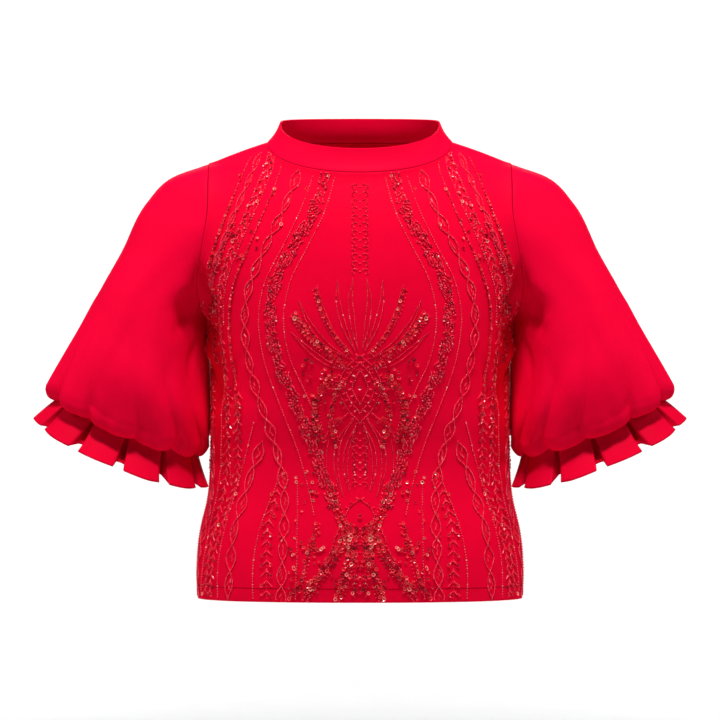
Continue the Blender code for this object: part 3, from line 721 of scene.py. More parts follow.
def ruffle_grid():
    """Fine grid of the right ruffle, from the seam under the puff to its edge."""
    number = np.repeat(np.arange(PLEATS), len(pleat_places(PLEAT_FACE_HEM)))
    dense = np.linspace(0.0, 2 * math.pi, CURVE_STEPS * 30)
    inner_side = (1 - np.cos(dense)) / 2
    shape_across, shape_forward = ring_shape(dense)
    flare = RUFFLE_FLARE_OUTER + (RUFFLE_FLARE_INNER - RUFFLE_FLARE_OUTER) * inner_side
    opening = RUFFLE_OPENING_OUTER + (RUFFLE_OPENING_INNER - RUFFLE_OPENING_OUTER) * inner_side
    rows = []
    for share in even(RUFFLE_ROW_COUNT):
        face_share = PLEAT_FACE_TOP + (PLEAT_FACE_HEM - PLEAT_FACE_TOP) * share
        pleat = pleat_places(face_share)
        centred = pleat + (PLEAT_FACE_HEM - face_share) / 2
        place = (np.arange(PLEATS)[:, None] + centred[None, :]).ravel() / PLEATS
        depth_share = np.tile(pleat_profile(pleat, face_share), PLEATS)
        widest = np.full(dense.shape, PUFF_WIDEST)
        across, forward = sleeve_skin(widest, dense, PUFF_TURN[-1][1] * turn_share(dense))
        line = np.column_stack([
            across + share**opening * flare * shape_across,
            forward + share**RUFFLE_OPENING_FRONT * RUFFLE_FLARE_DEPTH * shape_forward])
        steps = lengths_along(line)
        wanted = place * steps[-1]

        point, ahead, behind = (
            np.column_stack([np.interp(at, steps, axis, period=steps[-1]) for axis in line.T])
            for at in (wanted, wanted + 1, wanted - 1))
        tangent = (ahead - behind) / np.linalg.norm(ahead - behind, axis=1)[:, None]
        outward = np.column_stack([tangent[:, 1], -tangent[:, 0]])
        uneven = 1 + PLEAT_UNEVEN * np.sin(2.3 * number + 0.7)
        depth = PLEAT_DEPTH_TOP + (PLEAT_DEPTH_HEM * uneven - PLEAT_DEPTH_TOP) * share
        point = point - outward * (depth * np.maximum(depth_share, -share))[:, None]
        front = np.clip(point[:, 1] / SLEEVE_RINGS[-1][3], -1, 1) ** 2
        drop = (RUFFLE_DROP + RUFFLE_FRONT_EXTRA * front) * share
        lift = PLEAT_LIFT * share * np.clip(depth_share, 0, 1)
        rows.append(sleeve_point(PUFF_SEAM + drop - lift, point[:, 0], point[:, 1]))
    return np.array(rows)


def collar_grid():
    """Fine grid of the collar band, from the neck seam to the top edge."""
    quarter = even(COLLAR_QUARTER)

    def ring(front, back):
        right = np.vstack([front, back[::-1][1:]])
        return np.vstack([right, right[::-1][1:-1] * MIRROR])

    seam = ring(neckline(-1, quarter), neckline(1, quarter))
    top = ring(
        neck_quarter(COLLAR_TOP_HALF_WIDTH, COLLAR_TOP_FRONT_DEPTH,
                     COLLAR_TOP_FRONT, COLLAR_TOP_SIDE, -1, quarter),
        neck_quarter(COLLAR_TOP_HALF_WIDTH, COLLAR_TOP_BACK_DEPTH,
                     COLLAR_TOP_BACK, COLLAR_TOP_SIDE, 1, quarter, COLLAR_BACK_RISE))
    share = np.unique(np.concatenate([even(COLLAR_ROWS), [0.02, 0.045, 0.97]]))[:, None, None]
    plan = seam * (1, 1, 0)
    outward = plan / np.linalg.norm(plan, axis=1)[:, None]
    grid = (1 - share) * seam[None] + share * top[None]
    hollow = COLLAR_HOLLOW * np.sin(math.pi * share) + edge_sink(share * COLLAR_HEIGHT)
    return grid - hollow * outward[None]


def bare_scene():
    """Nothing selected, so that an operator works on the new piece alone."""
    for obj in bpy.context.scene.objects:
        obj.select_set(False)
    bpy.context.view_layer.objects.active = None


def apply_modifiers(piece):
    """Write the piece's modifiers into its mesh."""
    bare_scene()
    piece.select_set(True)
    bpy.context.view_layer.objects.active = piece
    for modifier in list(piece.modifiers):
        bpy.ops.object.modifier_apply(modifier=modifier.name)


def cloth_piece(name, grid, closed, thickness, flip, finish):
    """A sheet of cloth from a grid of points on its outer face, with its own UV map."""
    rows, columns = grid.shape[:2]
    mesh = bpy.data.meshes.new(name)
    index = np.arange(rows * columns).reshape(rows, columns)
    following = np.roll(index, -1, axis=1) if closed else index[:, 1:]
    here = index if closed else index[:, :-1]
    faces = np.stack([here[:-1], following[:-1], following[1:], here[1:]], axis=-1)
    faces = faces.reshape(-1, 4)
    if flip:
        faces = faces[:, ::-1]
    mesh.from_pydata((grid.reshape(-1, 3) * MM).tolist(), [], faces.tolist())
    ring = np.concatenate([grid, grid[:, :1]], axis=1) if closed else grid
    across = np.linalg.norm(np.diff(ring, axis=1), axis=2)
    across = np.concatenate([np.zeros((rows, 1)), np.cumsum(across, axis=1)], axis=1)
    across = np.broadcast_to(across.mean(axis=0), across.shape)
    down = np.linalg.norm(np.diff(ring, axis=0), axis=2)
    down = np.concatenate([np.zeros((1, down.shape[1])), np.cumsum(down, axis=0)], axis=0)
    flat = np.stack([across, down], axis=-1) * MM
    corners = np.stack([flat[:-1, :-1], flat[:-1, 1:], flat[1:, 1:], flat[1:, :-1]], axis=2)
    corners = corners.reshape(-1, 4, 2)
    if flip:
        corners = corners[:, ::-1]
    layer = mesh.uv_layers.new(name="cut")
    layer.data.foreach_set("uv", corners.ravel())
    mesh.shade_smooth()
    mesh.materials.append(finish)
    mesh.update()
    piece = bpy.data.objects.new(name, mesh)
    bpy.context.scene.collection.objects.link(piece)
    wall = piece.modifiers.new("wall", "SOLIDIFY")
    wall.thickness = thickness * MM
    wall.offset = -1.0
    apply_modifiers(piece)
    return piece


def sum_of(operation, turned=False):
    """One sign of arithmetic on sockets; turned, the plain number stands first."""
    def work_out(self, other):
        first, second = (other, self) if turned else (self, other)
        return self.finish.node("ShaderNodeMath", {"operation": operation}, {0: first, 1: second})

    return work_out


class Value:
    """A socket of a finish that can be used in sums."""

    def __init__(self, finish, socket):
        self.finish, self.socket = finish, socket

    __add__, __radd__ = sum_of("ADD"), sum_of("ADD", True)
    __sub__, __rsub__ = sum_of("SUBTRACT"), sum_of("SUBTRACT", True)
    __mul__, __rmul__ = sum_of("MULTIPLY"), sum_of("MULTIPLY", True)


class Finish:
    """A procedural finish and the nodes that make it."""

    def __init__(self, name):
        self.material = bpy.data.materials.new(name)
        self.material.use_nodes = True
        self.tree = self.material.node_tree
        self.shader = self.tree.nodes["Principled BSDF"]

    def node(self, kind, settings=None, values=None, out=0):
        """Add a node, set it up and give one of its outputs."""
        node = self.tree.nodes.new(kind)
        for key, setting in (settings or {}).items():
            if key == "stops":
                while len(node.color_ramp.elements) < len(setting):
                    node.color_ramp.elements.new(0.5)
                for element, (position, colour) in zip(node.color_ramp.elements, setting):
                    element.position = position
                    element.color = (*colour, 1.0)
            else:
                setattr(node, key, setting)
        for key, value in (values or {}).items():
            if isinstance(value, Value):
                self.tree.links.new(value.socket, node.inputs[key])
            else:
                node.inputs[key].default_value = value
        return Value(self, node.outputs[out])

    def mix(self, share, first, second):
        """Blend two colours."""
        first, second = (colour if isinstance(colour, Value) else (*colour, 1.0)
                         for colour in (first, second))
        return self.node("ShaderNodeMix", {"data_type": "RGBA"}, {0: share, 6: first, 7: second},
                         out=2)

    def spread(self, value, low, high, to_low=0.0, to_high=1.0):
        """A value between two limits spread out between two others."""
        return self.node("ShaderNodeMapRange", {}, {
            "Value": value, "From Min": low, "From Max": high, "To Min": to_low, "To Max": to_high})

    def relief(self, strength, distance, height, **under):
        """Bump of a height, over another relief if one is given."""
        return self.node("ShaderNodeBump", {}, {
            "Strength": strength, "Distance": distance, "Height": height, **under})

    def noise(self, vector, scale, detail=2.0, roughness=0.5):
        """Soft cloudy pattern from 0 to 1."""
        return self.node("ShaderNodeTexNoise", {}, {
            "Vector": vector, "Scale": scale, "Detail": detail, "Roughness": roughness})

    def uneven(self, vector, scale, low, high, detail=2.0):
        """Cloudy pattern spread out between two limits of the noise."""
        return self.spread(self.noise(vector, scale, detail), low, high)

    def set(self, **values):
        """Plain values straight on the shader's own sockets."""
        for key, value in values.items():
            self.shader.inputs[key.replace("_", " ")].default_value = value

    def feed(self, key, value):
        """Link a varying value into the shader."""
        self.tree.links.new(value.socket, self.shader.inputs[key])


def scaled(colour, share):
    """A colour made lighter or darker."""
    return tuple(min(channel * share, 1.0) for channel in colour)


# Scales of the patterns, for each metre: the crepe's threads along and across, its slack
# and dye, the clouds in glass and foil, the ply of the thread and the grain of the paper
THREAD_LENGTHWISE = 520.0
THREAD_CROSSWISE = 1500.0
SLACK_SCALE = 38.0
DYE_SCALE = 11.0
CLOUD_SCALE = 420.0
PLY_SCALE = 2200.0
PAPER_SCALE = 6.0

# Outputs of Texture Coordinate: the piece's own UV map and Object coordinates
UV_MAP, OBJECT_PLACE = 2, 3


def crepe_finish(name, colour, depth=1.0, roughness=0.6):
    """Matt crepe: pebbled threads, slight unevenness of the dye, a soft sheen."""
    finish = Finish(name)
    cut = finish.node("ShaderNodeTexCoord", out=UV_MAP)
    place = finish.node("ShaderNodeTexCoord", out=OBJECT_PLACE)
    threads_along, threads_across = (
        finish.node("ShaderNodeMapping", {}, {"Vector": cut, "Scale": scale})
        for scale in ((THREAD_LENGTHWISE, THREAD_CROSSWISE, 1.0),
                      (THREAD_CROSSWISE, THREAD_LENGTHWISE, 1.0)))
    pebble = (finish.noise(threads_along, 1.0, 1.0) + finish.noise(threads_across, 1.0, 1.0)) * 0.5
    slack = finish.noise(place, SLACK_SCALE, 3.0)
    dye = finish.uneven(place, DYE_SCALE, 0.3, 0.7)
    speckle = finish.uneven(threads_along, 1.0, 0.3, 0.75)
    body = finish.mix(dye, scaled(colour, 0.95), scaled(colour, 1.03))
    finish.feed("Base Color", finish.mix(speckle * 0.35, body, scaled(colour, 0.84)))
    finish.feed("Roughness", finish.spread(pebble, 0.3, 0.7, roughness - 0.06, roughness + 0.08))
    threads = finish.relief(0.45 * depth, 0.0005, pebble)
    finish.feed("Normal", finish.relief(0.35 * depth, 0.002, slack, Normal=threads))
    finish.set(Specular_IOR_Level=0.015, Sheen_Weight=0.10, Sheen_Roughness=0.5,
               Sheen_Tint=(1.0, 0.004, 0.05, 1.0))
    return finish.material


# Colour of glass and foil by tone, from nearly black to a pale glint; the palest stops are painted
# highlights in the base colour
GLASS_TONES = (
    (0.0, (0.16, 0.0, 0.010)), (0.3, (0.66, 0.003, 0.034)), (0.55, (1.0, 0.008, 0.06)),
    (0.8, (1.0, 0.05, 0.10)), (0.93, (1.0, 0.14, 0.20)), (1.0, (1.0, 0.44, 0.46)))
FOIL_TONES = (
    (0.0, (0.03, 0.0, 0.003)), (0.3, (0.55, 0.003, 0.030)), (0.55, (1.0, 0.010, 0.05)),
    (0.8, (1.0, 0.05, 0.07)), (0.95, (1.0, 0.12, 0.12)), (1.0, (1.0, 0.50, 0.42)))


def shiny_finish(name, tones, metallic, roughness, coat):
    """Bright glass or foil, coloured piece by piece from its tone, which carries painted glints and
    the sequins' painted rim highlight and hole shade.
    """
    finish = Finish(name)
    tone = finish.node("ShaderNodeAttribute", {"attribute_name": "tone"}, out=2)
    place = finish.node("ShaderNodeTexCoord", out=OBJECT_PLACE)
    clouds = finish.noise(place, CLOUD_SCALE, 1.0)
    shade = tone + (clouds - 0.5) * 0.12
    finish.feed("Base Color", finish.node(
        "ShaderNodeValToRGB", {"stops": tones}, {"Fac": shade}))
    finish.feed("Roughness", clouds * 0.12 + (roughness - 0.06))
    finish.set(Metallic=metallic, Coat_Weight=coat, Coat_Roughness=0.08,
               Specular_IOR_Level=0.25)
    return finish.material


def thread_finish(name, colour):
    """Twisted sewing thread."""
    finish = Finish(name)
    place = finish.node("ShaderNodeTexCoord", out=OBJECT_PLACE)
    ply = finish.noise(place, PLY_SCALE, 1.0)
    finish.feed("Base Color", finish.mix(ply, scaled(colour, 0.75), colour))
    finish.feed("Normal", finish.relief(0.5, 0.0002, ply))
    finish.set(Roughness=0.8, Specular_IOR_Level=0.03)
    return finish.material


# Layout of the beadwork on the right half of the front, as distance from the
# centre along the cloth and height; the left half mirrors it
BEAD_BANDS = (
    # width, points
    (14.0, ((34, -38), (50, -84), (72, -124), (93, -166), (101, -210), (95, -256),
            (79, -298), (62, -340), (46, -384), (30, -426))),
    (8.5, ((168, -96), (188, -140), (204, -184), (210, -226), (202, -262))),
    (7.5, ((20, -452), (30, -482), (46, -510), (60, -536))),
)
VINES = (
    # length of a loop, half width, points
    (28, 6.2, ((66, -36), (90, -86), (113, -134), (131, -184), (135, -236), (125, -288),
               (108, -336), (94, -384), (86, -436), (84, -486), (86, -536))),
    (25, 5.4, ((138, -14), (160, -62), (180, -108), (194, -156), (196, -206))),
    (31, 6.8, ((118, -352), (136, -400), (145, -450), (147, -500), (150, -536))),
    (24, 5.6, ((214, -330), (206, -380), (204, -430), (212, -486), (218, -536))),
)
PEARL_STRINGS = (
    # radius at the start, radius at the end, points
    (1.1, 2.1, ((90, -26), (114, -76), (134, -124), (152, -174), (160, -226), (156, -280),
                (148, -330))),
    (2.0, 1.1, ((180, -250), (176, -300), (168, -350), (164, -400))),
    (1.2, 1.9, ((158, -20), (176, -60), (194, -104), (208, -148))),
    (1.0, 1.8, ((222, -280), (218, -330), (224, -384))),
)
DOT_LINES = (
    ((50, -44), (66, -84), (86, -126), (107, -168), (116, -212), (111, -260), (96, -304),
     (79, -348), (64, -394), (52, -436)),
    ((26, -46), (38, -86), (56, -126), (76, -168), (85, -212), (80, -254), (64, -292),
     (48, -330)),
    ((118, -14), (140, -62), (160, -110), (176, -158), (182, -206), (178, -250)),
    ((103, -20), (127, -70), (148, -118), (165, -168), (171, -216)),
    ((74, -400), (70, -448), (68, -492), (70, -536)),
    ((128, -330), (142, -372), (156, -420), (164, -470), (166, -536)),
    ((186, -300), (184, -360), (190, -420), (198, -480), (202, -536)),
    ((96, -392), (110, -436), (117, -484), (118, -536)),
    ((230, -250), (228, -320), (228, -400), (232, -470), (232, -536)),
)
LEAF_LINES = (
    # spacing, leaf length, points
    (11, 7.5, ((110, -16), (134, -66), (156, -114), (172, -162), (180, -214), (176, -268),
               (170, -322), (172, -376), (180, -434), (188, -490), (190, -536))),
    (10, 6.5, ((150, -296), (152, -350), (154, -398), (170, -452), (178, -500), (180, -536))),
    (10, 6.5, ((224, -190), (226, -236), (216, -290), (210, -330))),
    (12, 7.0, ((98, -408), (104, -450), (102, -494), (102, -536))),
)
SEQUIN_ROWS = (
    # sequin radius at the start and the end, rows, points
    (1.7, 2.4, 2, ((17, -262), (40, -244), (58, -226), (72, -204))),
    (1.5, 2.1, 1, ((12, -250), (27, -228), (40, -204), (47, -176))),
    (2.0, 2.5, 2, ((30, -274), (47, -296), (53, -324), (46, -352))),
    (1.8, 2.3, 1, ((20, -282), (32, -304), (35, -330), (27, -356))),
    (2.3, 1.8, 2, ((34, -404), (27, -430), (18, -452), (12, -474))),
    (2.2, 2.5, 2, ((12, -446), (22, -474), (38, -500), (58, -524))),
    (2.4, 2.2, 2, ((7, -452), (10, -480), (17, -508), (24, -534))),
    (2.0, 2.4, 1, ((48, -446), (56, -476), (62, -506), (76, -534))),
)
PLUMES = (
    ((3, -244), (8, -214), (10, -188), (7, -164)),
    ((6, -246), (17, -220), (23, -194), (24, -166)),
    ((9, -250), (29, -228), (40, -202), (46, -172)),
    ((12, -256), (38, -238), (56, -214), (66, -190)),
    ((10, -268), (34, -262), (54, -248), (76, -226)),
    ((5, -334), (14, -356), (17, -384), (12, -408)),
    ((8, -326), (24, -350), (28, -384), (20, -414)),
    ((14, -318), (36, -342), (42, -378), (34, -414)),
)
OGEES = (
    ((0, -252), (17, -268), (24, -288), (17, -310), (0, -330)),
    ((0, -260), (12, -274), (17, -288), (12, -303), (0, -318)),
    ((0, -268), (6, -280), (9, -289), (6, -298), (0, -308)),
    ((0, -418), (12, -428), (16, -438), (11, -450), (0, -460)),
)
CENTRE_SEQUINS = (-289.0, -438.0)
CURL_OUT = 5.4
CURL_RADIUS = 2.9
CENTRE_CURLS = ((-56.0, -158.0, 9.0), (-342.0, -410.0, 8.5), (-470.0, -528.0, 9.5))
SEQUIN_SCATTER = (
    # across, height, half width, half height, how many
    (34, -500, 48, 30, 72),
    (44, -300, 24, 46, 34),
    (66, -432, 26, 50, 26),
    (196, -182, 14, 52, 40),
    (118, -80, 60, 60, 22),
)

# Distance from one bead or sequin to the next along each kind of line
SEED_PITCH = 2.3
VINE_PITCH = 2.05
STRING_PITCH = 4.4
DOT_PITCH = 3.1
STEM_PITCH = 3.4
SEQUIN_PITCH = 4.5
PLUME_PITCH = 2.4
OGEE_PITCH = 2.5

# Stitches: distance from one to the next, length, radius
HEM_STITCH = (3.4, 2.7, 0.32)
ARMHOLE_STITCH = (2.4, 2.6, 0.55)
NECK_STITCH = (2.4, 2.6, 0.5)
SIDE_STITCH = (2.4, 2.6, 0.4)
HEM_TURN = 16.0
ARMHOLE_MIDDLE = 100.0
SIDE_SEAM_ROWS = TUBE_SEGMENTS * BODICE_FINENESS

# Beads: how high they stand, where strings turn into sequins, sides of their shapes,
# and the height where the upper mesh of seed beads ends and the lower one begins
BEAD_LIFT = 0.55
STRING_BEAD_LIMIT = 1.45
BEAD_SIDES = 6
SEQUIN_SIDES = 8
BEAD_SPLIT_HEIGHT = -282.0

# Margins left free of beads at the side seam, the hem and the top of the front
SIDE_MARGIN = 2.5
HEM_MARGIN = 1.5
TOP_MARGIN = 3.0

# Shades of the beads: middle, spread, and how often one gets a painted glint, a pale tone standing
# in for a highlight
BAND_SHADE = (0.48, 0.18, 0.03)
BAND_SEQUIN_SHADE = (0.34, 0.2, 0.12)
VINE_SHADE = (0.56, 0.12, 0.02)
VINE_BUGLE_SHADE = (0.7, 0.08, 0.18)
STRING_SEQUIN_SHADE = (0.44, 0.2, 0.06)
STRING_SHADE = (0.42, 0.12, 0.05)
STRING_GAP_SHADE = (0.6, 0.1, 0.05)
DOT_SHADE = (0.74, 0.14, 0.12)
LEAF_SEQUIN_SHADE = (0.46, 0.2, 0.08)
LEAF_BUGLE_SHADE = (0.6, 0.12, 0.1)
STEM_BUGLE_SHADE = (0.66, 0.1, 0.12)
STEM_SHADE = (0.55, 0.1, 0.03)
ROW_SEQUIN_SHADE = (0.46, 0.2, 0.10)
ROW_SHADE = (0.55, 0.12, 0.06)
CURL_SHADE = (0.38, 0.12, 0.03)
CURL_BUGLE_SHADE = (0.62, 0.1, 0.2)
PLUME_SHADE = (0.46, 0.12, 0.04)
OGEE_SHADE = (0.4, 0.14, 0.05)
OGEE_BUGLE_SHADE = (0.55, 0.12, 0.08)
SCATTER_SHADE = (0.48, 0.22, 0.12)
SEQUIN_BEAD_SHADE = (0.6, 0.1, 0.1)
CENTRE_SEQUIN_SHADE = 0.3
# Share of the glint chance that is used, and the pale tones painted on a bead as a glint
PAINTED_GLINT_SCALE = 0.6
PAINTED_GLINT_TONES = (0.9, 1.0)
PALEST_TONE = 0.82
SEQUIN_BEAD_CHANCE = 0.6
SEQUIN_ANGLE = 0.3


class FrontPanel:
    """Right half of the finished front, read by distance across and height."""

    def __init__(self, grid):
        middle = grid.shape[1] // 2
        self.half = grid[:, middle:]
        self.normals = grid_normals(grid, False, False)[:, middle:]
        segments = NECK_SEGMENTS + SHOULDER_SEGMENTS
        lines = finer_places(segments, (NECK_SEGMENTS, segments), BODICE_FINENESS)
        self.across = lines / segments * QUARTER_LENGTH

    def read(self, across, height):
        """Point and outward direction there, or None beyond the panel's edges."""
        if not 0.0 <= across < QUARTER_LENGTH - SIDE_MARGIN:
            return None
        column = np.searchsorted(self.across, across, side="right") - 1
        share = (across - self.across[column]) / (self.across[column + 1] - self.across[column])
        line = (1 - share) * self.half[:, column] + share * self.half[:, column + 1]
        if not line[0, 2] + HEM_MARGIN < height < line[-1, 2] - TOP_MARGIN:
            return None
        normal = (1 - share) * self.normals[:, column] + share * self.normals[:, column + 1]
        both = np.hstack([line, normal])
        row = np.searchsorted(line[:, 2], height) - 1
        part = (height - line[row, 2]) / (line[row + 1, 2] - line[row, 2])
        found = (1 - part) * both[row] + part * both[row + 1]
        return found[:3], found[3:] / np.linalg.norm(found[3:])


def beside(across, height, angle, offset):
    """Place at a distance to the left of a line."""
    return across - offset * math.sin(angle), height + offset * math.cos(angle)


def onward(across, height, angle, distance):
    """Place further on in a direction."""
    return across + distance * math.cos(angle), height + distance * math.sin(angle)


class Beadwork:
    """Beads and sequins sewn on so far, by kind."""

    def __init__(self, panel, seed):
        self.panel = panel
        self.chance = np.random.default_rng(seed)
        self.sewn = {"seed": [], "bugle": [], "sequin": []}

    def sew(self, kind, across, height, angle, size, shade, tilt):
        """Fix one piece on both halves; size is its length, width and height."""
        tone = self.tone(*shade) if isinstance(shade, tuple) else shade
        found = self.panel.read(across, height)
        ahead = self.panel.read(*onward(across, height, angle, 0.8))
        if found is None or ahead is None:
            return
        point, normal = found
        lean = self.chance.normal(0.0, 1.0, 3) * tilt
        for side in ((1, 1, 1), MIRROR) if across > 0.6 else ((1, 1, 1),):
            out = normal * side + lean
            out /= np.linalg.norm(out)
            run = (ahead[0] - point) * side
            run -= out * (run @ out)
            run /= np.linalg.norm(run)
            self.sewn[kind].append((
                point * side + out * size[2] * BEAD_LIFT, run, np.cross(out, run), out, size, tone))

    def tone(self, middle, spread, painted_glints=0.0):
        """Tone of one piece, from nearly black at 0 to a pale painted glint at 1; now and then a
        piece gets a painted glint.
        """
        if painted_glints and self.chance.random() < painted_glints * PAINTED_GLINT_SCALE:
            return float(self.chance.uniform(*PAINTED_GLINT_TONES))
        return float(np.clip(self.chance.normal(middle, spread), 0.0, PALEST_TONE))

    def seed(self, across, height, angle, radius, shade):
        """A small round bead."""
        self.sew("seed", across, height, angle, (radius * 1.05, radius, radius), shade, 0.12)

    def sequin(self, across, height, radius, shade, tilt=0.22):
        """A cup sequin, now and then with the small bead that holds it."""
        self.sew("sequin", across, height, SEQUIN_ANGLE, (radius,) * 3, shade, tilt)
        if self.chance.random() < SEQUIN_BEAD_CHANCE:
            self.sew("seed", across, height, SEQUIN_ANGLE, (0.8, 0.8, 1.6), SEQUIN_BEAD_SHADE, 0.0)

    def bugle(self, across, height, angle, length, shade):
        """A tube bead."""
        self.sew("bugle", across, height, angle, (length / 2, 0.75, 0.75), shade, 0.06)

    def line(self, points, pitch, radius, shade):
        """A plain line of seed beads."""
        for across, height, angle, _ in stations(points, pitch):
            self.seed(across, height, angle, radius, shade)


def stations(points, pitch):
    """Evenly spaced places on a line, the direction there and the share of its length."""
    dense = smooth_path([(a, 0.0, z) for a, z in points], even(400))
    shares = even(max(2, int(round(lengths_along(dense)[-1] / pitch))))
    here, ahead = along(dense, shares), along(dense, np.minimum(shares + 0.002, 1.0))
    run = ahead - along(dense, np.maximum(shares - 0.002, 0.0))
    return [(h[0], h[2], math.atan2(r[2], r[0]), s) for h, r, s in zip(here, run, shares)]


def sew_bands(work):
    """Dense bands: oblique rows of seed beads with a few sequins among them."""
    for width, points in BEAD_BANDS:
        for number, (across, height, angle, share) in enumerate(stations(points, SEED_PITCH)):
            lump = 0.80 + 0.20 * math.sin(number * 0.42) + 0.12 * math.sin(number * 1.13)
            reach = width * lump * (0.55 + 0.45 * math.sin(math.pi * min(share * 4, 0.5)))
            slant = 0.55 if (number // 9) % 2 else -0.45
            for place in np.linspace(-reach / 2, reach / 2, max(2, int(reach / SEED_PITCH))):
                shift = slant * place + work.chance.normal(0, 0.35)
                a, z = beside(*onward(across, height, angle, shift), angle,
                              place + work.chance.normal(0, 0.3))
                work.seed(a, z, angle + slant + 1.57, work.chance.uniform(0.95, 1.35), BAND_SHADE)
            if number % 5 == 2:
                a, z = beside(across, height, angle, work.chance.uniform(-0.5, 0.5) * reach)
                work.sequin(a, z, work.chance.uniform(1.7, 2.3), BAND_SEQUIN_SHADE, 0.35)


def sew_vines(work):
    """Two bead lines that cross again and again, with bugle beads in the loops."""
    for loop, half_width, points in VINES:
        for number, (across, height, angle, _) in enumerate(stations(points, VINE_PITCH)):
            phase = math.pi * number * VINE_PITCH / loop
            swing = half_width * math.sin(phase) * (0.85 + 0.15 * math.sin(number * 0.21))
            turn = math.atan(math.pi / loop * half_width * math.cos(phase))
            for side in (-1, 1):
                work.seed(*beside(across, height, angle, side * swing), angle + side * turn, 1.15,
                          VINE_SHADE)
            if abs(math.sin(phase)) > 0.82 and number % 2:
                work.bugle(*beside(across, height, angle, work.chance.normal(0, 1.1)),
                           angle + work.chance.normal(0, 0.3), 4.4, VINE_BUGLE_SHADE)


def sew_strings(work):
    """Strings of beads that grow into sequins along the line, and fine dotted lines."""
    for first, last, points in PEARL_STRINGS:
        for across, height, angle, share in stations(points, STRING_PITCH):
            radius = first + (last - first) * share
            if radius > STRING_BEAD_LIMIT:
                work.sequin(across, height, radius + 0.3, STRING_SEQUIN_SHADE)
            else:
                work.seed(across, height, angle, radius, STRING_SHADE)
            work.seed(*onward(across, height, angle, STRING_PITCH / 2), angle, 0.7,
                      STRING_GAP_SHADE)
    for points in DOT_LINES:
        work.line(points, DOT_PITCH, 0.95, DOT_SHADE)


def sew_leaves(work):
    """Pairs of short leaves on a line, each a few beads and a sequin or bugle at its tip."""
    for spacing, leaf, points in LEAF_LINES:
        for number, (across, height, angle, _) in enumerate(stations(points, spacing)):
            for side in (-1, 1):
                lean = angle + side * 0.75
                leaf_shade = (work.tone(0.58, 0.1), 0.08, 0.03)
                for step in (0.25, 0.5, 0.75):
                    work.seed(*onward(across, height, lean, step * leaf), lean, 0.95, leaf_shade)
                tip = onward(across, height, lean, leaf * 1.1)
                if (number + (side > 0)) % 3:
                    work.sequin(*tip, 2.1, LEAF_SEQUIN_SHADE)
                else:
                    work.bugle(*tip, lean, 3.4, LEAF_BUGLE_SHADE)
            work.bugle(across, height, angle, 4.0, STEM_BUGLE_SHADE)
        work.line(points, STEM_PITCH, 0.75, STEM_SHADE)


def sew_sequin_rows(work):
    """Rows of overlapping cup sequins with a bead line beside them."""
    for first, last, rows, points in SEQUIN_ROWS:
        for across, height, angle, share in stations(points, SEQUIN_PITCH):
            radius = first + (last - first) * share
            for row in range(rows):
                a, z = beside(across, height, angle, (row - (rows - 1) / 2) * 2.15 * radius)
                work.sequin(a + work.chance.normal(0, 0.4), z + work.chance.normal(0, 0.4),
                            radius, ROW_SEQUIN_SHADE, 0.30)
            work.seed(*beside(across, height, angle, -rows * radius - 1.6), angle, 0.9, ROW_SHADE)


def sew_centre(work):
    """Curls, plumes and ogee frames on the centre front."""
    for top, foot, pitch in CENTRE_CURLS:
        for height in np.arange(top, foot, -pitch):
            for step in range(5):
                turn = 0.9 + step * 0.85
                work.seed(CURL_OUT - CURL_RADIUS * math.cos(turn),
                          height + CURL_RADIUS * math.sin(turn), turn, 0.95, CURL_SHADE)
            work.bugle(0.0, height, 0.0, 2.6, CURL_BUGLE_SHADE)
    for points in PLUMES:
        for across, height, angle, share in stations(points, PLUME_PITCH):
            for side in (-1, 1):
                swell = side * (2.6 * math.sin(math.pi * share))
                work.seed(*beside(across, height, angle, swell), angle, 0.85, PLUME_SHADE)
    for points in OGEES:
        for number, (across, height, angle, _) in enumerate(stations(points, OGEE_PITCH)):
            work.seed(max(across, 1.0), height, angle, 1.0, OGEE_SHADE)
            if number % 3 == 1:
                a, z = beside(across, height, angle, 3.0)
                work.bugle(max(a, 1.2), z, angle + 1.57, 3.0, OGEE_BUGLE_SHADE)
    for height in CENTRE_SEQUINS:
        work.sequin(0.0, height, 2.6, CENTRE_SEQUIN_SHADE, 0.02)


def sew_scatter(work):
    """Single sequins dropped between the lines."""
    for middle, level, half_width, half_height, count in SEQUIN_SCATTER:
        for _ in range(count):
            across = abs(middle + half_width * work.chance.uniform(-1, 1))
            height = level + half_height * work.chance.uniform(-1, 1)
            work.sequin(max(across, 2.5), height, work.chance.uniform(1.5, 2.4), SCATTER_SHADE,
                        0.35)


def circle(sides):
    """Cosine and sine of even steps round a circle."""
    turn = np.arange(sides) * 2 * math.pi / sides
    return np.cos(turn), np.sin(turn)


def ring_faces(levels, sides, last):
    """Faces between rings of points, up to the last level, which may be the first again."""
    faces = []
    for level in range(last):
        low, high = level * sides, (level + 1) % levels * sides
        for side in range(sides):
            after = (side + 1) % sides
            faces.append((low + side, low + after, high + after, high + side))
    return faces


def bead_shape(profile):
    """One closed bead along X, from its places there and the radius at each."""
    across, up = circle(BEAD_SIDES)
    rings = [np.column_stack([np.full(BEAD_SIDES, x), r * across, r * up]) for x, r in profile]
    last = len(rings) - 1
    faces = [tuple(range(BEAD_SIDES))[::-1], *ring_faces(len(rings), BEAD_SIDES, last),
             tuple(last * BEAD_SIDES + side for side in range(BEAD_SIDES))]
    return np.vstack(rings), faces, np.zeros(len(rings) * BEAD_SIDES)


# Place along a bead and its radius there, for a seed bead and for a tube
SEED_PROFILE = ((-0.85, 0.55), (0.0, 1.0), (0.85, 0.55))
TUBE_PROFILE = ((-1.0, 1.0), (1.0, 1.0))


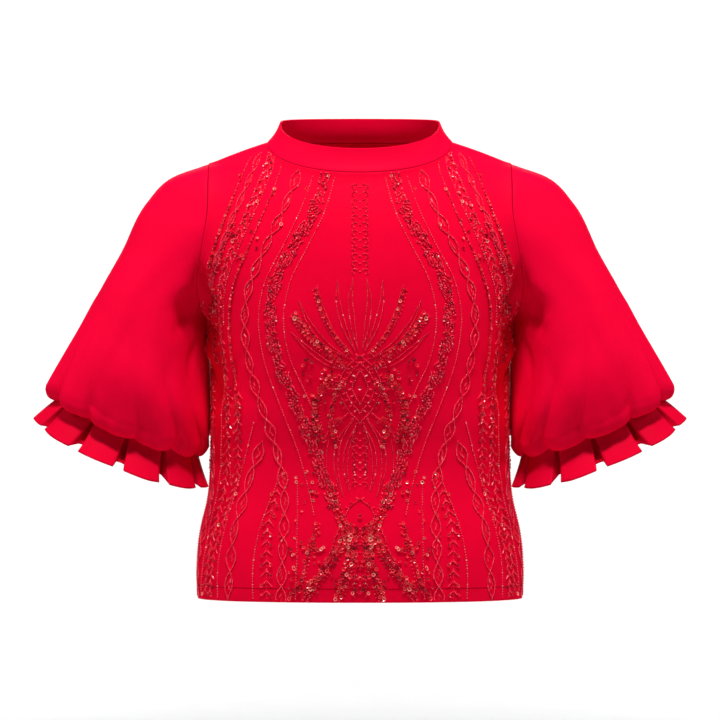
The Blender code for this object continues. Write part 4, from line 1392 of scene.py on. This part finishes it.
def sequin_shape():
    """One cupped sequin with a hole, its face along Z, with painted shade round the hole and a
    painted highlight at the rim.
    """
    profile = (
        # radius, height, lighter by: a painted highlight at the rim and painted shade at the hole
        (1.0, 0.40, 0.22), (0.70, 0.12, 0.16), (0.34, 0.02, -0.42),
        (0.30, -0.06, -0.5), (0.70, 0.04, 0.0), (1.0, 0.32, 0.1))
    across, up = circle(SEQUIN_SIDES)
    rings = [np.column_stack([r * across, r * up, np.full(SEQUIN_SIDES, h)])
             for r, h, _ in profile]
    faces = [face[::-1] for face in ring_faces(len(rings), SEQUIN_SIDES, len(rings))]
    return np.vstack(rings), faces, np.repeat([shade for _, _, shade in profile], SEQUIN_SIDES)


def joined(name, shape, sewn, finish, smooth):
    """One mesh of every copy of a shape, each with its own place, size and tone; the shape's
    painted highlight and shade are added to the tone.
    """
    points, faces, painted_light_offset = shape
    middle, run, over, out, size, tone = (np.array(column) for column in zip(*sewn))
    places = middle[:, None]
    for axis, direction in enumerate((run, over, out)):
        reach = direction * size[:, axis:axis + 1]
        places = places + points[None, :, axis:axis + 1] * reach[:, None]
    all_faces = [tuple(first + corner for corner in face)
                 for first in range(0, len(sewn) * len(points), len(points)) for face in faces]
    mesh = bpy.data.meshes.new(name)
    mesh.from_pydata((places.reshape(-1, 3) * MM).tolist(), [], all_faces)
    if smooth:
        mesh.shade_smooth()
    shade = mesh.attributes.new("tone", "FLOAT", "POINT")
    # Random tone and painted glints, plus the shape's painted rim highlight and hole shade
    shade.data.foreach_set("value", np.clip(tone[:, None] + painted_light_offset[None], 0.0, 1.0).ravel())
    mesh.materials.append(finish)
    piece = bpy.data.objects.new(name, mesh)
    bpy.context.scene.collection.objects.link(piece)
    return piece


def stitched(points, normals, pitch, length, radius, chance):
    """Stitches laid end to end along a line in space."""
    steps = lengths_along(points)

    def read(table, at):
        return np.array([np.interp(at, steps, column) for column in table.T])

    sewn = []
    for place in np.arange(pitch / 2, steps[-1], pitch):
        out = read(normals, place)
        out /= np.linalg.norm(out)
        run = read(points, place + 0.5) - read(points, place - 0.5)
        run -= out * (run @ out)
        run /= np.linalg.norm(run)
        sewn.append((read(points, place), run, np.cross(out, run), out,
                     (length / 2, radius, radius), chance.uniform(0.3, 0.7)))
    return sewn


def level_line(grid, normals, height):
    """Points and directions where a panel crosses a height."""
    points, outs = [], []
    for column in range(grid.shape[1]):
        heights = grid[:, column, 2]
        row = np.searchsorted(heights, height) - 1
        share = (height - heights[row]) / (heights[row + 1] - heights[row])
        points.append((1 - share) * grid[row, column] + share * grid[row + 1, column])
        outs.append((1 - share) * normals[row, column] + share * normals[row + 1, column])
    return np.array(points), np.array(outs)


def length_setting(name, description, default):
    """A length that a user would change."""
    return bpy.props.FloatProperty(name=name, description=description, default=default,
                                   unit="LENGTH", precision=4)


def colour_setting(name, description, default):
    """A colour that a user would change."""
    return bpy.props.FloatVectorProperty(name=name, description=description, default=default,
                                         subtype="COLOR")


def gloss_setting(name, description, default):
    """A roughness that a user would change."""
    return bpy.props.FloatProperty(name=name, description=description, default=default,
                                   min=0.06, max=1.0, subtype="FACTOR")


def watts_setting(name, description, default):
    """Strength of a light that a user would change."""
    return bpy.props.FloatProperty(name=name, description=description, default=default,
                                   unit="POWER")


class BalloonClothSettings(bpy.types.PropertyGroup):
    """Thickness and colour of the cloth."""
    bodice_cloth: length_setting(
        "Bodice cloth", "Thickness of the front and back", BODICE_CLOTH * MM)
    sleeve_cloth: length_setting(
        "Sleeve cloth", "Thickness of the sleeves", SLEEVE_CLOTH * MM)
    ruffle_cloth: length_setting(
        "Ruffle cloth", "Thickness of the pleated ruffles", RUFFLE_CLOTH * MM)
    collar_cloth: length_setting(
        "Collar cloth", "Thickness of the doubled collar band", COLLAR_CLOTH * MM)
    crepe: colour_setting(
        "Crepe", "Colour of the sleeves, back and collar", (0.93, 0.0006, 0.037))
    bodice: colour_setting(
        "Beaded crepe", "Colour of the cloth under the beadwork", (0.94, 0.0005, 0.033))
    # The ruffle colour is the sleeves' crepe darkened, as painted shade under the puffs
    ruffle: colour_setting(
        "Ruffle crepe", "Colour of the pleated ruffles", (0.70, 0.0005, 0.026))
    # The thread is darker than the cloth; along the seams its stitches also paint the shade of the
    # seam lines
    thread: colour_setting(
        "Thread", "Colour of the stitches", (0.30, 0.0006, 0.012))


class BalloonBeadSettings(bpy.types.PropertyGroup):
    """Layout and brightness of the beads and sequins."""
    seed: bpy.props.IntProperty(
        name="Seed", description="Start of the random tilt and shade", default=11)
    sequin_roughness: gloss_setting("Sequin roughness", "How dull the sequins are", 0.22)
    bead_roughness: gloss_setting("Bead roughness", "How dull the glass beads are", 0.24)


class BalloonStageSettings(bpy.types.PropertyGroup):
    """Studio round the top."""
    camera_distance: length_setting(
        "Camera distance", "From the camera to the middle of the top", 5.5)
    frame_width: length_setting(
        "Frame width", "Width of the view at the middle of the top", 0.8496)
    backdrop: colour_setting("Backdrop", "Colour of the sweep", (0.92, 0.92, 0.92))
    key_watts: watts_setting("Key light", "Strength of the large front light", 138.0)
    backdrop_watts: watts_setting(
        "Backdrop lights", "Strength of each light on the sweep", 60.0)


def mounted(piece, slot, *nodes):
    """Fix a finished piece to the model."""
    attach(piece, "root")
    if nodes:
        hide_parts(*nodes)


def mirrored_pair(kind, right, thickness, finish):
    """A piece on the right and its mirror on the left, each in place of its solid."""
    for side, grid, flip in (("right", right, False), ("left", right * MIRROR, True)):
        piece = cloth_piece(f"{kind}_{side}_cloth", grid, True, thickness, flip, finish)
        mounted(piece, "crepe", f"{kind}_{side}")
        yield piece


class BALLOON_OT_bodice(bpy.types.Operator):
    """Cut and shape the front and back"""
    bl_idname = "balloon_top.bodice"
    bl_label = "Bodice"

    def execute(self, context):
        cloth = context.scene.balloon_cloth
        thickness = cloth.bodice_cloth / MM
        front = cloth_piece("bodice_front_cloth", bodice_grid(-1), False, thickness, False,
                            crepe_finish("beaded_crepe", tuple(cloth.bodice), 1.0, 0.58))
        mounted(front, "embroidered_crepe", "bodice_front")
        back = cloth_piece("bodice_back_cloth", bodice_grid(1), False, thickness, True,
                           crepe_finish("back_crepe", tuple(cloth.crepe)))
        mounted(back, "crepe", "bodice_back")
        return {"FINISHED"}


class BALLOON_OT_collar(bpy.types.Operator):
    """Stand the collar band on the neckline"""
    bl_idname = "balloon_top.collar"
    bl_label = "Collar"

    def execute(self, context):
        cloth = context.scene.balloon_cloth
        collar = cloth_piece("collar_cloth", collar_grid(), True, cloth.collar_cloth / MM, False,
                             crepe_finish("collar_crepe", tuple(cloth.crepe), 0.7, 0.56))
        mounted(collar, "crepe", "collar")
        return {"FINISHED"}


class BALLOON_OT_sleeves(bpy.types.Operator):
    """Blow out the two balloon sleeves"""
    bl_idname = "balloon_top.sleeves"
    bl_label = "Sleeves"

    def execute(self, context):
        cloth = context.scene.balloon_cloth
        for sleeve in mirrored_pair("sleeve", sleeve_grid(), cloth.sleeve_cloth / MM,
                                    crepe_finish("sleeve_crepe", tuple(cloth.crepe))):
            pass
        return {"FINISHED"}


class BALLOON_OT_ruffles(bpy.types.Operator):
    """Pleat the ruffle below each sleeve"""
    bl_idname = "balloon_top.ruffles"
    bl_label = "Ruffles"

    def execute(self, context):
        cloth = context.scene.balloon_cloth
        # The ruffles' crepe is darkened to paint the shade that falls under the puffs
        for ruffle in mirrored_pair("ruffle", ruffle_grid(), cloth.ruffle_cloth / MM,
                                    crepe_finish("ruffle_crepe_darkened_for_shade", tuple(cloth.ruffle))):
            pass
        return {"FINISHED"}


class BALLOON_OT_stitching(bpy.types.Operator):
    """Sew the hem and sink thread into the seams"""
    bl_idname = "balloon_top.stitching"
    bl_label = "Stitching"

    def execute(self, context):
        chance = np.random.default_rng(context.scene.balloon_beads.seed)
        hem, seams = [], []
        for side in (-1, 1):
            grid = bodice_grid(side)
            normals = grid_normals(grid, False, side > 0)
            points, outs = level_line(grid, normals, HEM_HEIGHT + HEM_TURN)
            hem += stitched(points + outs * 0.1, outs, *HEM_STITCH, chance)
            ring = armhole(side, even(160))
            outward = ring - np.array([ARMHOLE_MIDDLE, 0.0, ring[:, 2].mean()])
            for mirror in ((1, 1, 1), MIRROR):
                seams += stitched(ring * mirror, outward * mirror, *ARMHOLE_STITCH, chance)
                line = neckline(side, even(120)) * mirror
                seams += stitched(line, line * (1, 1, 0), *NECK_STITCH, chance)
            if side < 0:
                seam = grid[1:SIDE_SEAM_ROWS, -1]
                for mirror in ((1, 1, 1), MIRROR):
                    outward = np.tile((mirror[0], 0.0, 0.0), (len(seam), 1))
                    seams += stitched(seam * mirror, outward, *SIDE_STITCH, chance)
        finish = thread_finish("red_thread", tuple(context.scene.balloon_cloth.thread))
        # The seam stitches are real stitches whose dark thread also paints the shade along the
        # seams
        for name, sewn in (("hem_stitches", hem), ("seam_stitches_painted_shade", seams)):
            mounted(joined(name, bead_shape(TUBE_PROFILE), sewn, finish, True), "crepe")
        return {"FINISHED"}


class BALLOON_OT_beadwork(bpy.types.Operator):
    """Sew the beads and sequins on the front"""
    bl_idname = "balloon_top.beadwork"
    bl_label = "Beadwork"

    def execute(self, context):
        beads = context.scene.balloon_beads
        work = Beadwork(FrontPanel(bodice_grid(-1)), beads.seed)
        for sew in (sew_bands, sew_vines, sew_strings, sew_leaves, sew_sequin_rows,
                    sew_centre, sew_scatter):
            sew(work)
        red_glass = shiny_finish("red_glass", GLASS_TONES, 0.0, beads.bead_roughness, 0.22)
        red_foil = shiny_finish("red_foil", FOIL_TONES, 0.15, beads.sequin_roughness, 0.10)
        upper = [entry for entry in work.sewn["seed"] if entry[0][2] > BEAD_SPLIT_HEIGHT]
        lower = [entry for entry in work.sewn["seed"] if entry[0][2] <= BEAD_SPLIT_HEIGHT]
        seed, tube = bead_shape(SEED_PROFILE), bead_shape(TUBE_PROFILE)
        for name, shape, sewn, finish, smooth in (
                ("seed_beads_upper", seed, upper, red_glass, True),
                ("seed_beads_lower", seed, lower, red_glass, True),
                ("bugle_beads", tube, work.sewn["bugle"], red_glass, False),
                ("cup_sequins", sequin_shape(), work.sewn["sequin"], red_foil, False)):
            mounted(joined(name, shape, sewn, finish, smooth), "sequin")
        return {"FINISHED"}


# Studio, in metres: a sweep of paper that bends up into a wall behind the top
SWEEP_SIZE = (8.0, 9.6, 1.0)
SWEEP_MIDDLE = (0.0, 3.2, -1.15)
SWEEP_WALL = (0.0, 0.0, 4.5)
SWEEP_BEND = 0.9
SWEEP_BEND_SEGMENTS = 14
TOP_MIDDLE = (0.0, 0.0, -0.25)
LIGHTS = (
    # name, place, target, size, setting of its strength, share of that
    ("key_light", (0.0, -1.2, 3.0), TOP_MIDDLE, 0.55, "key_watts", 1.0),
    ("front_light", (0.0, -4.6, 0.3), TOP_MIDDLE, 2.4, "key_watts", 0.04),
    ("side_light", (-2.2, -0.5, 1.2), TOP_MIDDLE, 1.0, "key_watts", 0.14),
    ("backdrop_light", (-2.4, 6.0, 0.8), (-0.5, 8.0, -0.3), 1.0, "backdrop_watts", 1.0),
    ("side_light", (2.2, -0.5, 1.2), TOP_MIDDLE, 1.0, "key_watts", 0.14),
    ("backdrop_light", (2.4, 6.0, 0.8), (0.5, 8.0, -0.3), 1.0, "backdrop_watts", 1.0),
    ("rear_light", (0.0, 3.4, 1.7), TOP_MIDDLE, 1.5, "key_watts", 0.3),
)
AIR_GLOW = 0.06
CAMERA_HEIGHT = -0.25724
SENSOR_WIDTH = 36.0


def soft_light(name, place, target, size, watts):
    """One large square studio light, turned towards a point."""
    bare_scene()
    bpy.ops.object.light_add(type="AREA", location=place)
    light = bpy.context.object
    light.name = name
    light.data.shape = "SQUARE"
    light.data.size = size
    light.data.energy = watts
    light.rotation_euler = (Vector(target) - light.location).to_track_quat("-Z", "Y").to_euler()


def back_edge(sweep, top):
    """Select only the sweep's edge at the back that lies below a height."""
    places = [vertex.co for vertex in sweep.data.vertices]
    for edge in sweep.data.edges:
        edge.select = all(places[v].y > 0 and places[v].z < top for v in edge.vertices)


def paper_sweep(colour):
    """Floor and wall of one sheet of pale paper with a round bend between them."""
    bare_scene()
    bpy.ops.mesh.primitive_plane_add(size=1.0, location=(0.0, 0.0, 0.0))
    sweep = bpy.context.object
    sweep.name = "backdrop_sweep"
    bpy.ops.object.mode_set(mode="EDIT")
    bpy.ops.transform.resize(value=SWEEP_SIZE)
    bpy.ops.transform.translate(value=SWEEP_MIDDLE)
    bpy.ops.mesh.select_all(action="DESELECT")
    bpy.ops.object.mode_set(mode="OBJECT")
    back_edge(sweep, 1.0)
    bpy.ops.object.mode_set(mode="EDIT")
    bpy.ops.mesh.select_mode(type="EDGE")
    bpy.ops.mesh.extrude_region_move(TRANSFORM_OT_translate={"value": SWEEP_WALL})
    bpy.ops.object.mode_set(mode="OBJECT")
    back_edge(sweep, 1.0)
    bpy.ops.object.mode_set(mode="EDIT")
    bpy.ops.mesh.bevel(offset=SWEEP_BEND, segments=SWEEP_BEND_SEGMENTS)
    bpy.ops.mesh.select_all(action="SELECT")
    bpy.ops.mesh.normals_make_consistent(inside=False)
    bpy.ops.object.mode_set(mode="OBJECT")
    sweep.data.shade_smooth()
    paper = Finish("pale_paper")
    place = paper.node("ShaderNodeTexCoord", out=OBJECT_PLACE)
    grain = paper.uneven(place, PAPER_SCALE, 0.3, 0.7)
    paper.feed("Base Color", paper.mix(grain, colour, scaled(colour, 0.985)))
    paper.set(Roughness=0.9, Specular_IOR_Level=0.1)
    sweep.data.materials.append(paper.material)
    return sweep


class BALLOON_OT_stage(bpy.types.Operator):
    """Set up the sweep, the lights and the camera"""
    bl_idname = "balloon_top.stage"
    bl_label = "Stage"

    def execute(self, context):
        stage = context.scene.balloon_stage
        paper_sweep(tuple(stage.backdrop))

        world = bpy.data.worlds.new("studio_air")
        world.use_nodes = True
        air = world.node_tree.nodes["Background"]
        air.inputs["Color"].default_value = (1.0, 1.0, 1.0, 1.0)
        air.inputs["Strength"].default_value = AIR_GLOW
        context.scene.world = world
        for name, place, target, size, setting, share in LIGHTS:
            soft_light(name, place, target, size, getattr(stage, setting) * share)

        bare_scene()
        bpy.ops.object.camera_add(location=(0.0, -stage.camera_distance, CAMERA_HEIGHT),
                                  rotation=(math.radians(90.0), 0.0, 0.0))
        camera = bpy.context.object
        camera.name = "studio_camera"
        camera.data.sensor_width = SENSOR_WIDTH
        camera.data.lens = SENSOR_WIDTH * stage.camera_distance / stage.frame_width
        camera.data.dof.use_dof = False
        context.scene.camera = camera
        context.scene.view_settings.view_transform = "Standard"
        return {"FINISHED"}


class BALLOON_PT_panel(bpy.types.Panel):
    """Pieces of the top"""
    bl_label = "Balloon Sleeve Top"
    bl_idname = "BALLOON_PT_panel"
    bl_space_type = "VIEW_3D"
    bl_region_type = "UI"
    bl_category = "Balloon Top"

    def draw(self, context):
        for settings in ("balloon_cloth", "balloon_beads", "balloon_stage"):
            group = getattr(context.scene, settings)
            for name in group.bl_rna.properties.keys():
                if name not in {"rna_type", "name"}:
                    self.layout.prop(group, name)
        for operator in OPERATORS:
            self.layout.operator(operator.bl_idname)


OPERATORS = (BALLOON_OT_bodice, BALLOON_OT_collar, BALLOON_OT_sleeves, BALLOON_OT_ruffles,
             BALLOON_OT_stitching, BALLOON_OT_beadwork, BALLOON_OT_stage)
SETTINGS = (BalloonClothSettings, BalloonBeadSettings, BalloonStageSettings)


def register():
    for entry in SETTINGS + OPERATORS + (BALLOON_PT_panel,):
        bpy.utils.register_class(entry)
    bpy.types.Scene.balloon_cloth = bpy.props.PointerProperty(type=BalloonClothSettings)
    bpy.types.Scene.balloon_beads = bpy.props.PointerProperty(type=BalloonBeadSettings)
    bpy.types.Scene.balloon_stage = bpy.props.PointerProperty(type=BalloonStageSettings)


def unregister():
    for name in ("balloon_cloth", "balloon_beads", "balloon_stage"):
        delattr(bpy.types.Scene, name)
    for entry in (BALLOON_PT_panel,) + OPERATORS[::-1] + SETTINGS[::-1]:
        bpy.utils.unregister_class(entry)


def main():
    """Make every piece in order."""
    register()
    bpy.ops.balloon_top.bodice()
    bpy.ops.balloon_top.collar()
    bpy.ops.balloon_top.sleeves()
    bpy.ops.balloon_top.ruffles()
    bpy.ops.balloon_top.stitching()
    bpy.ops.balloon_top.beadwork()
    bpy.ops.balloon_top.stage()


if __name__ == "__main__":
    main()
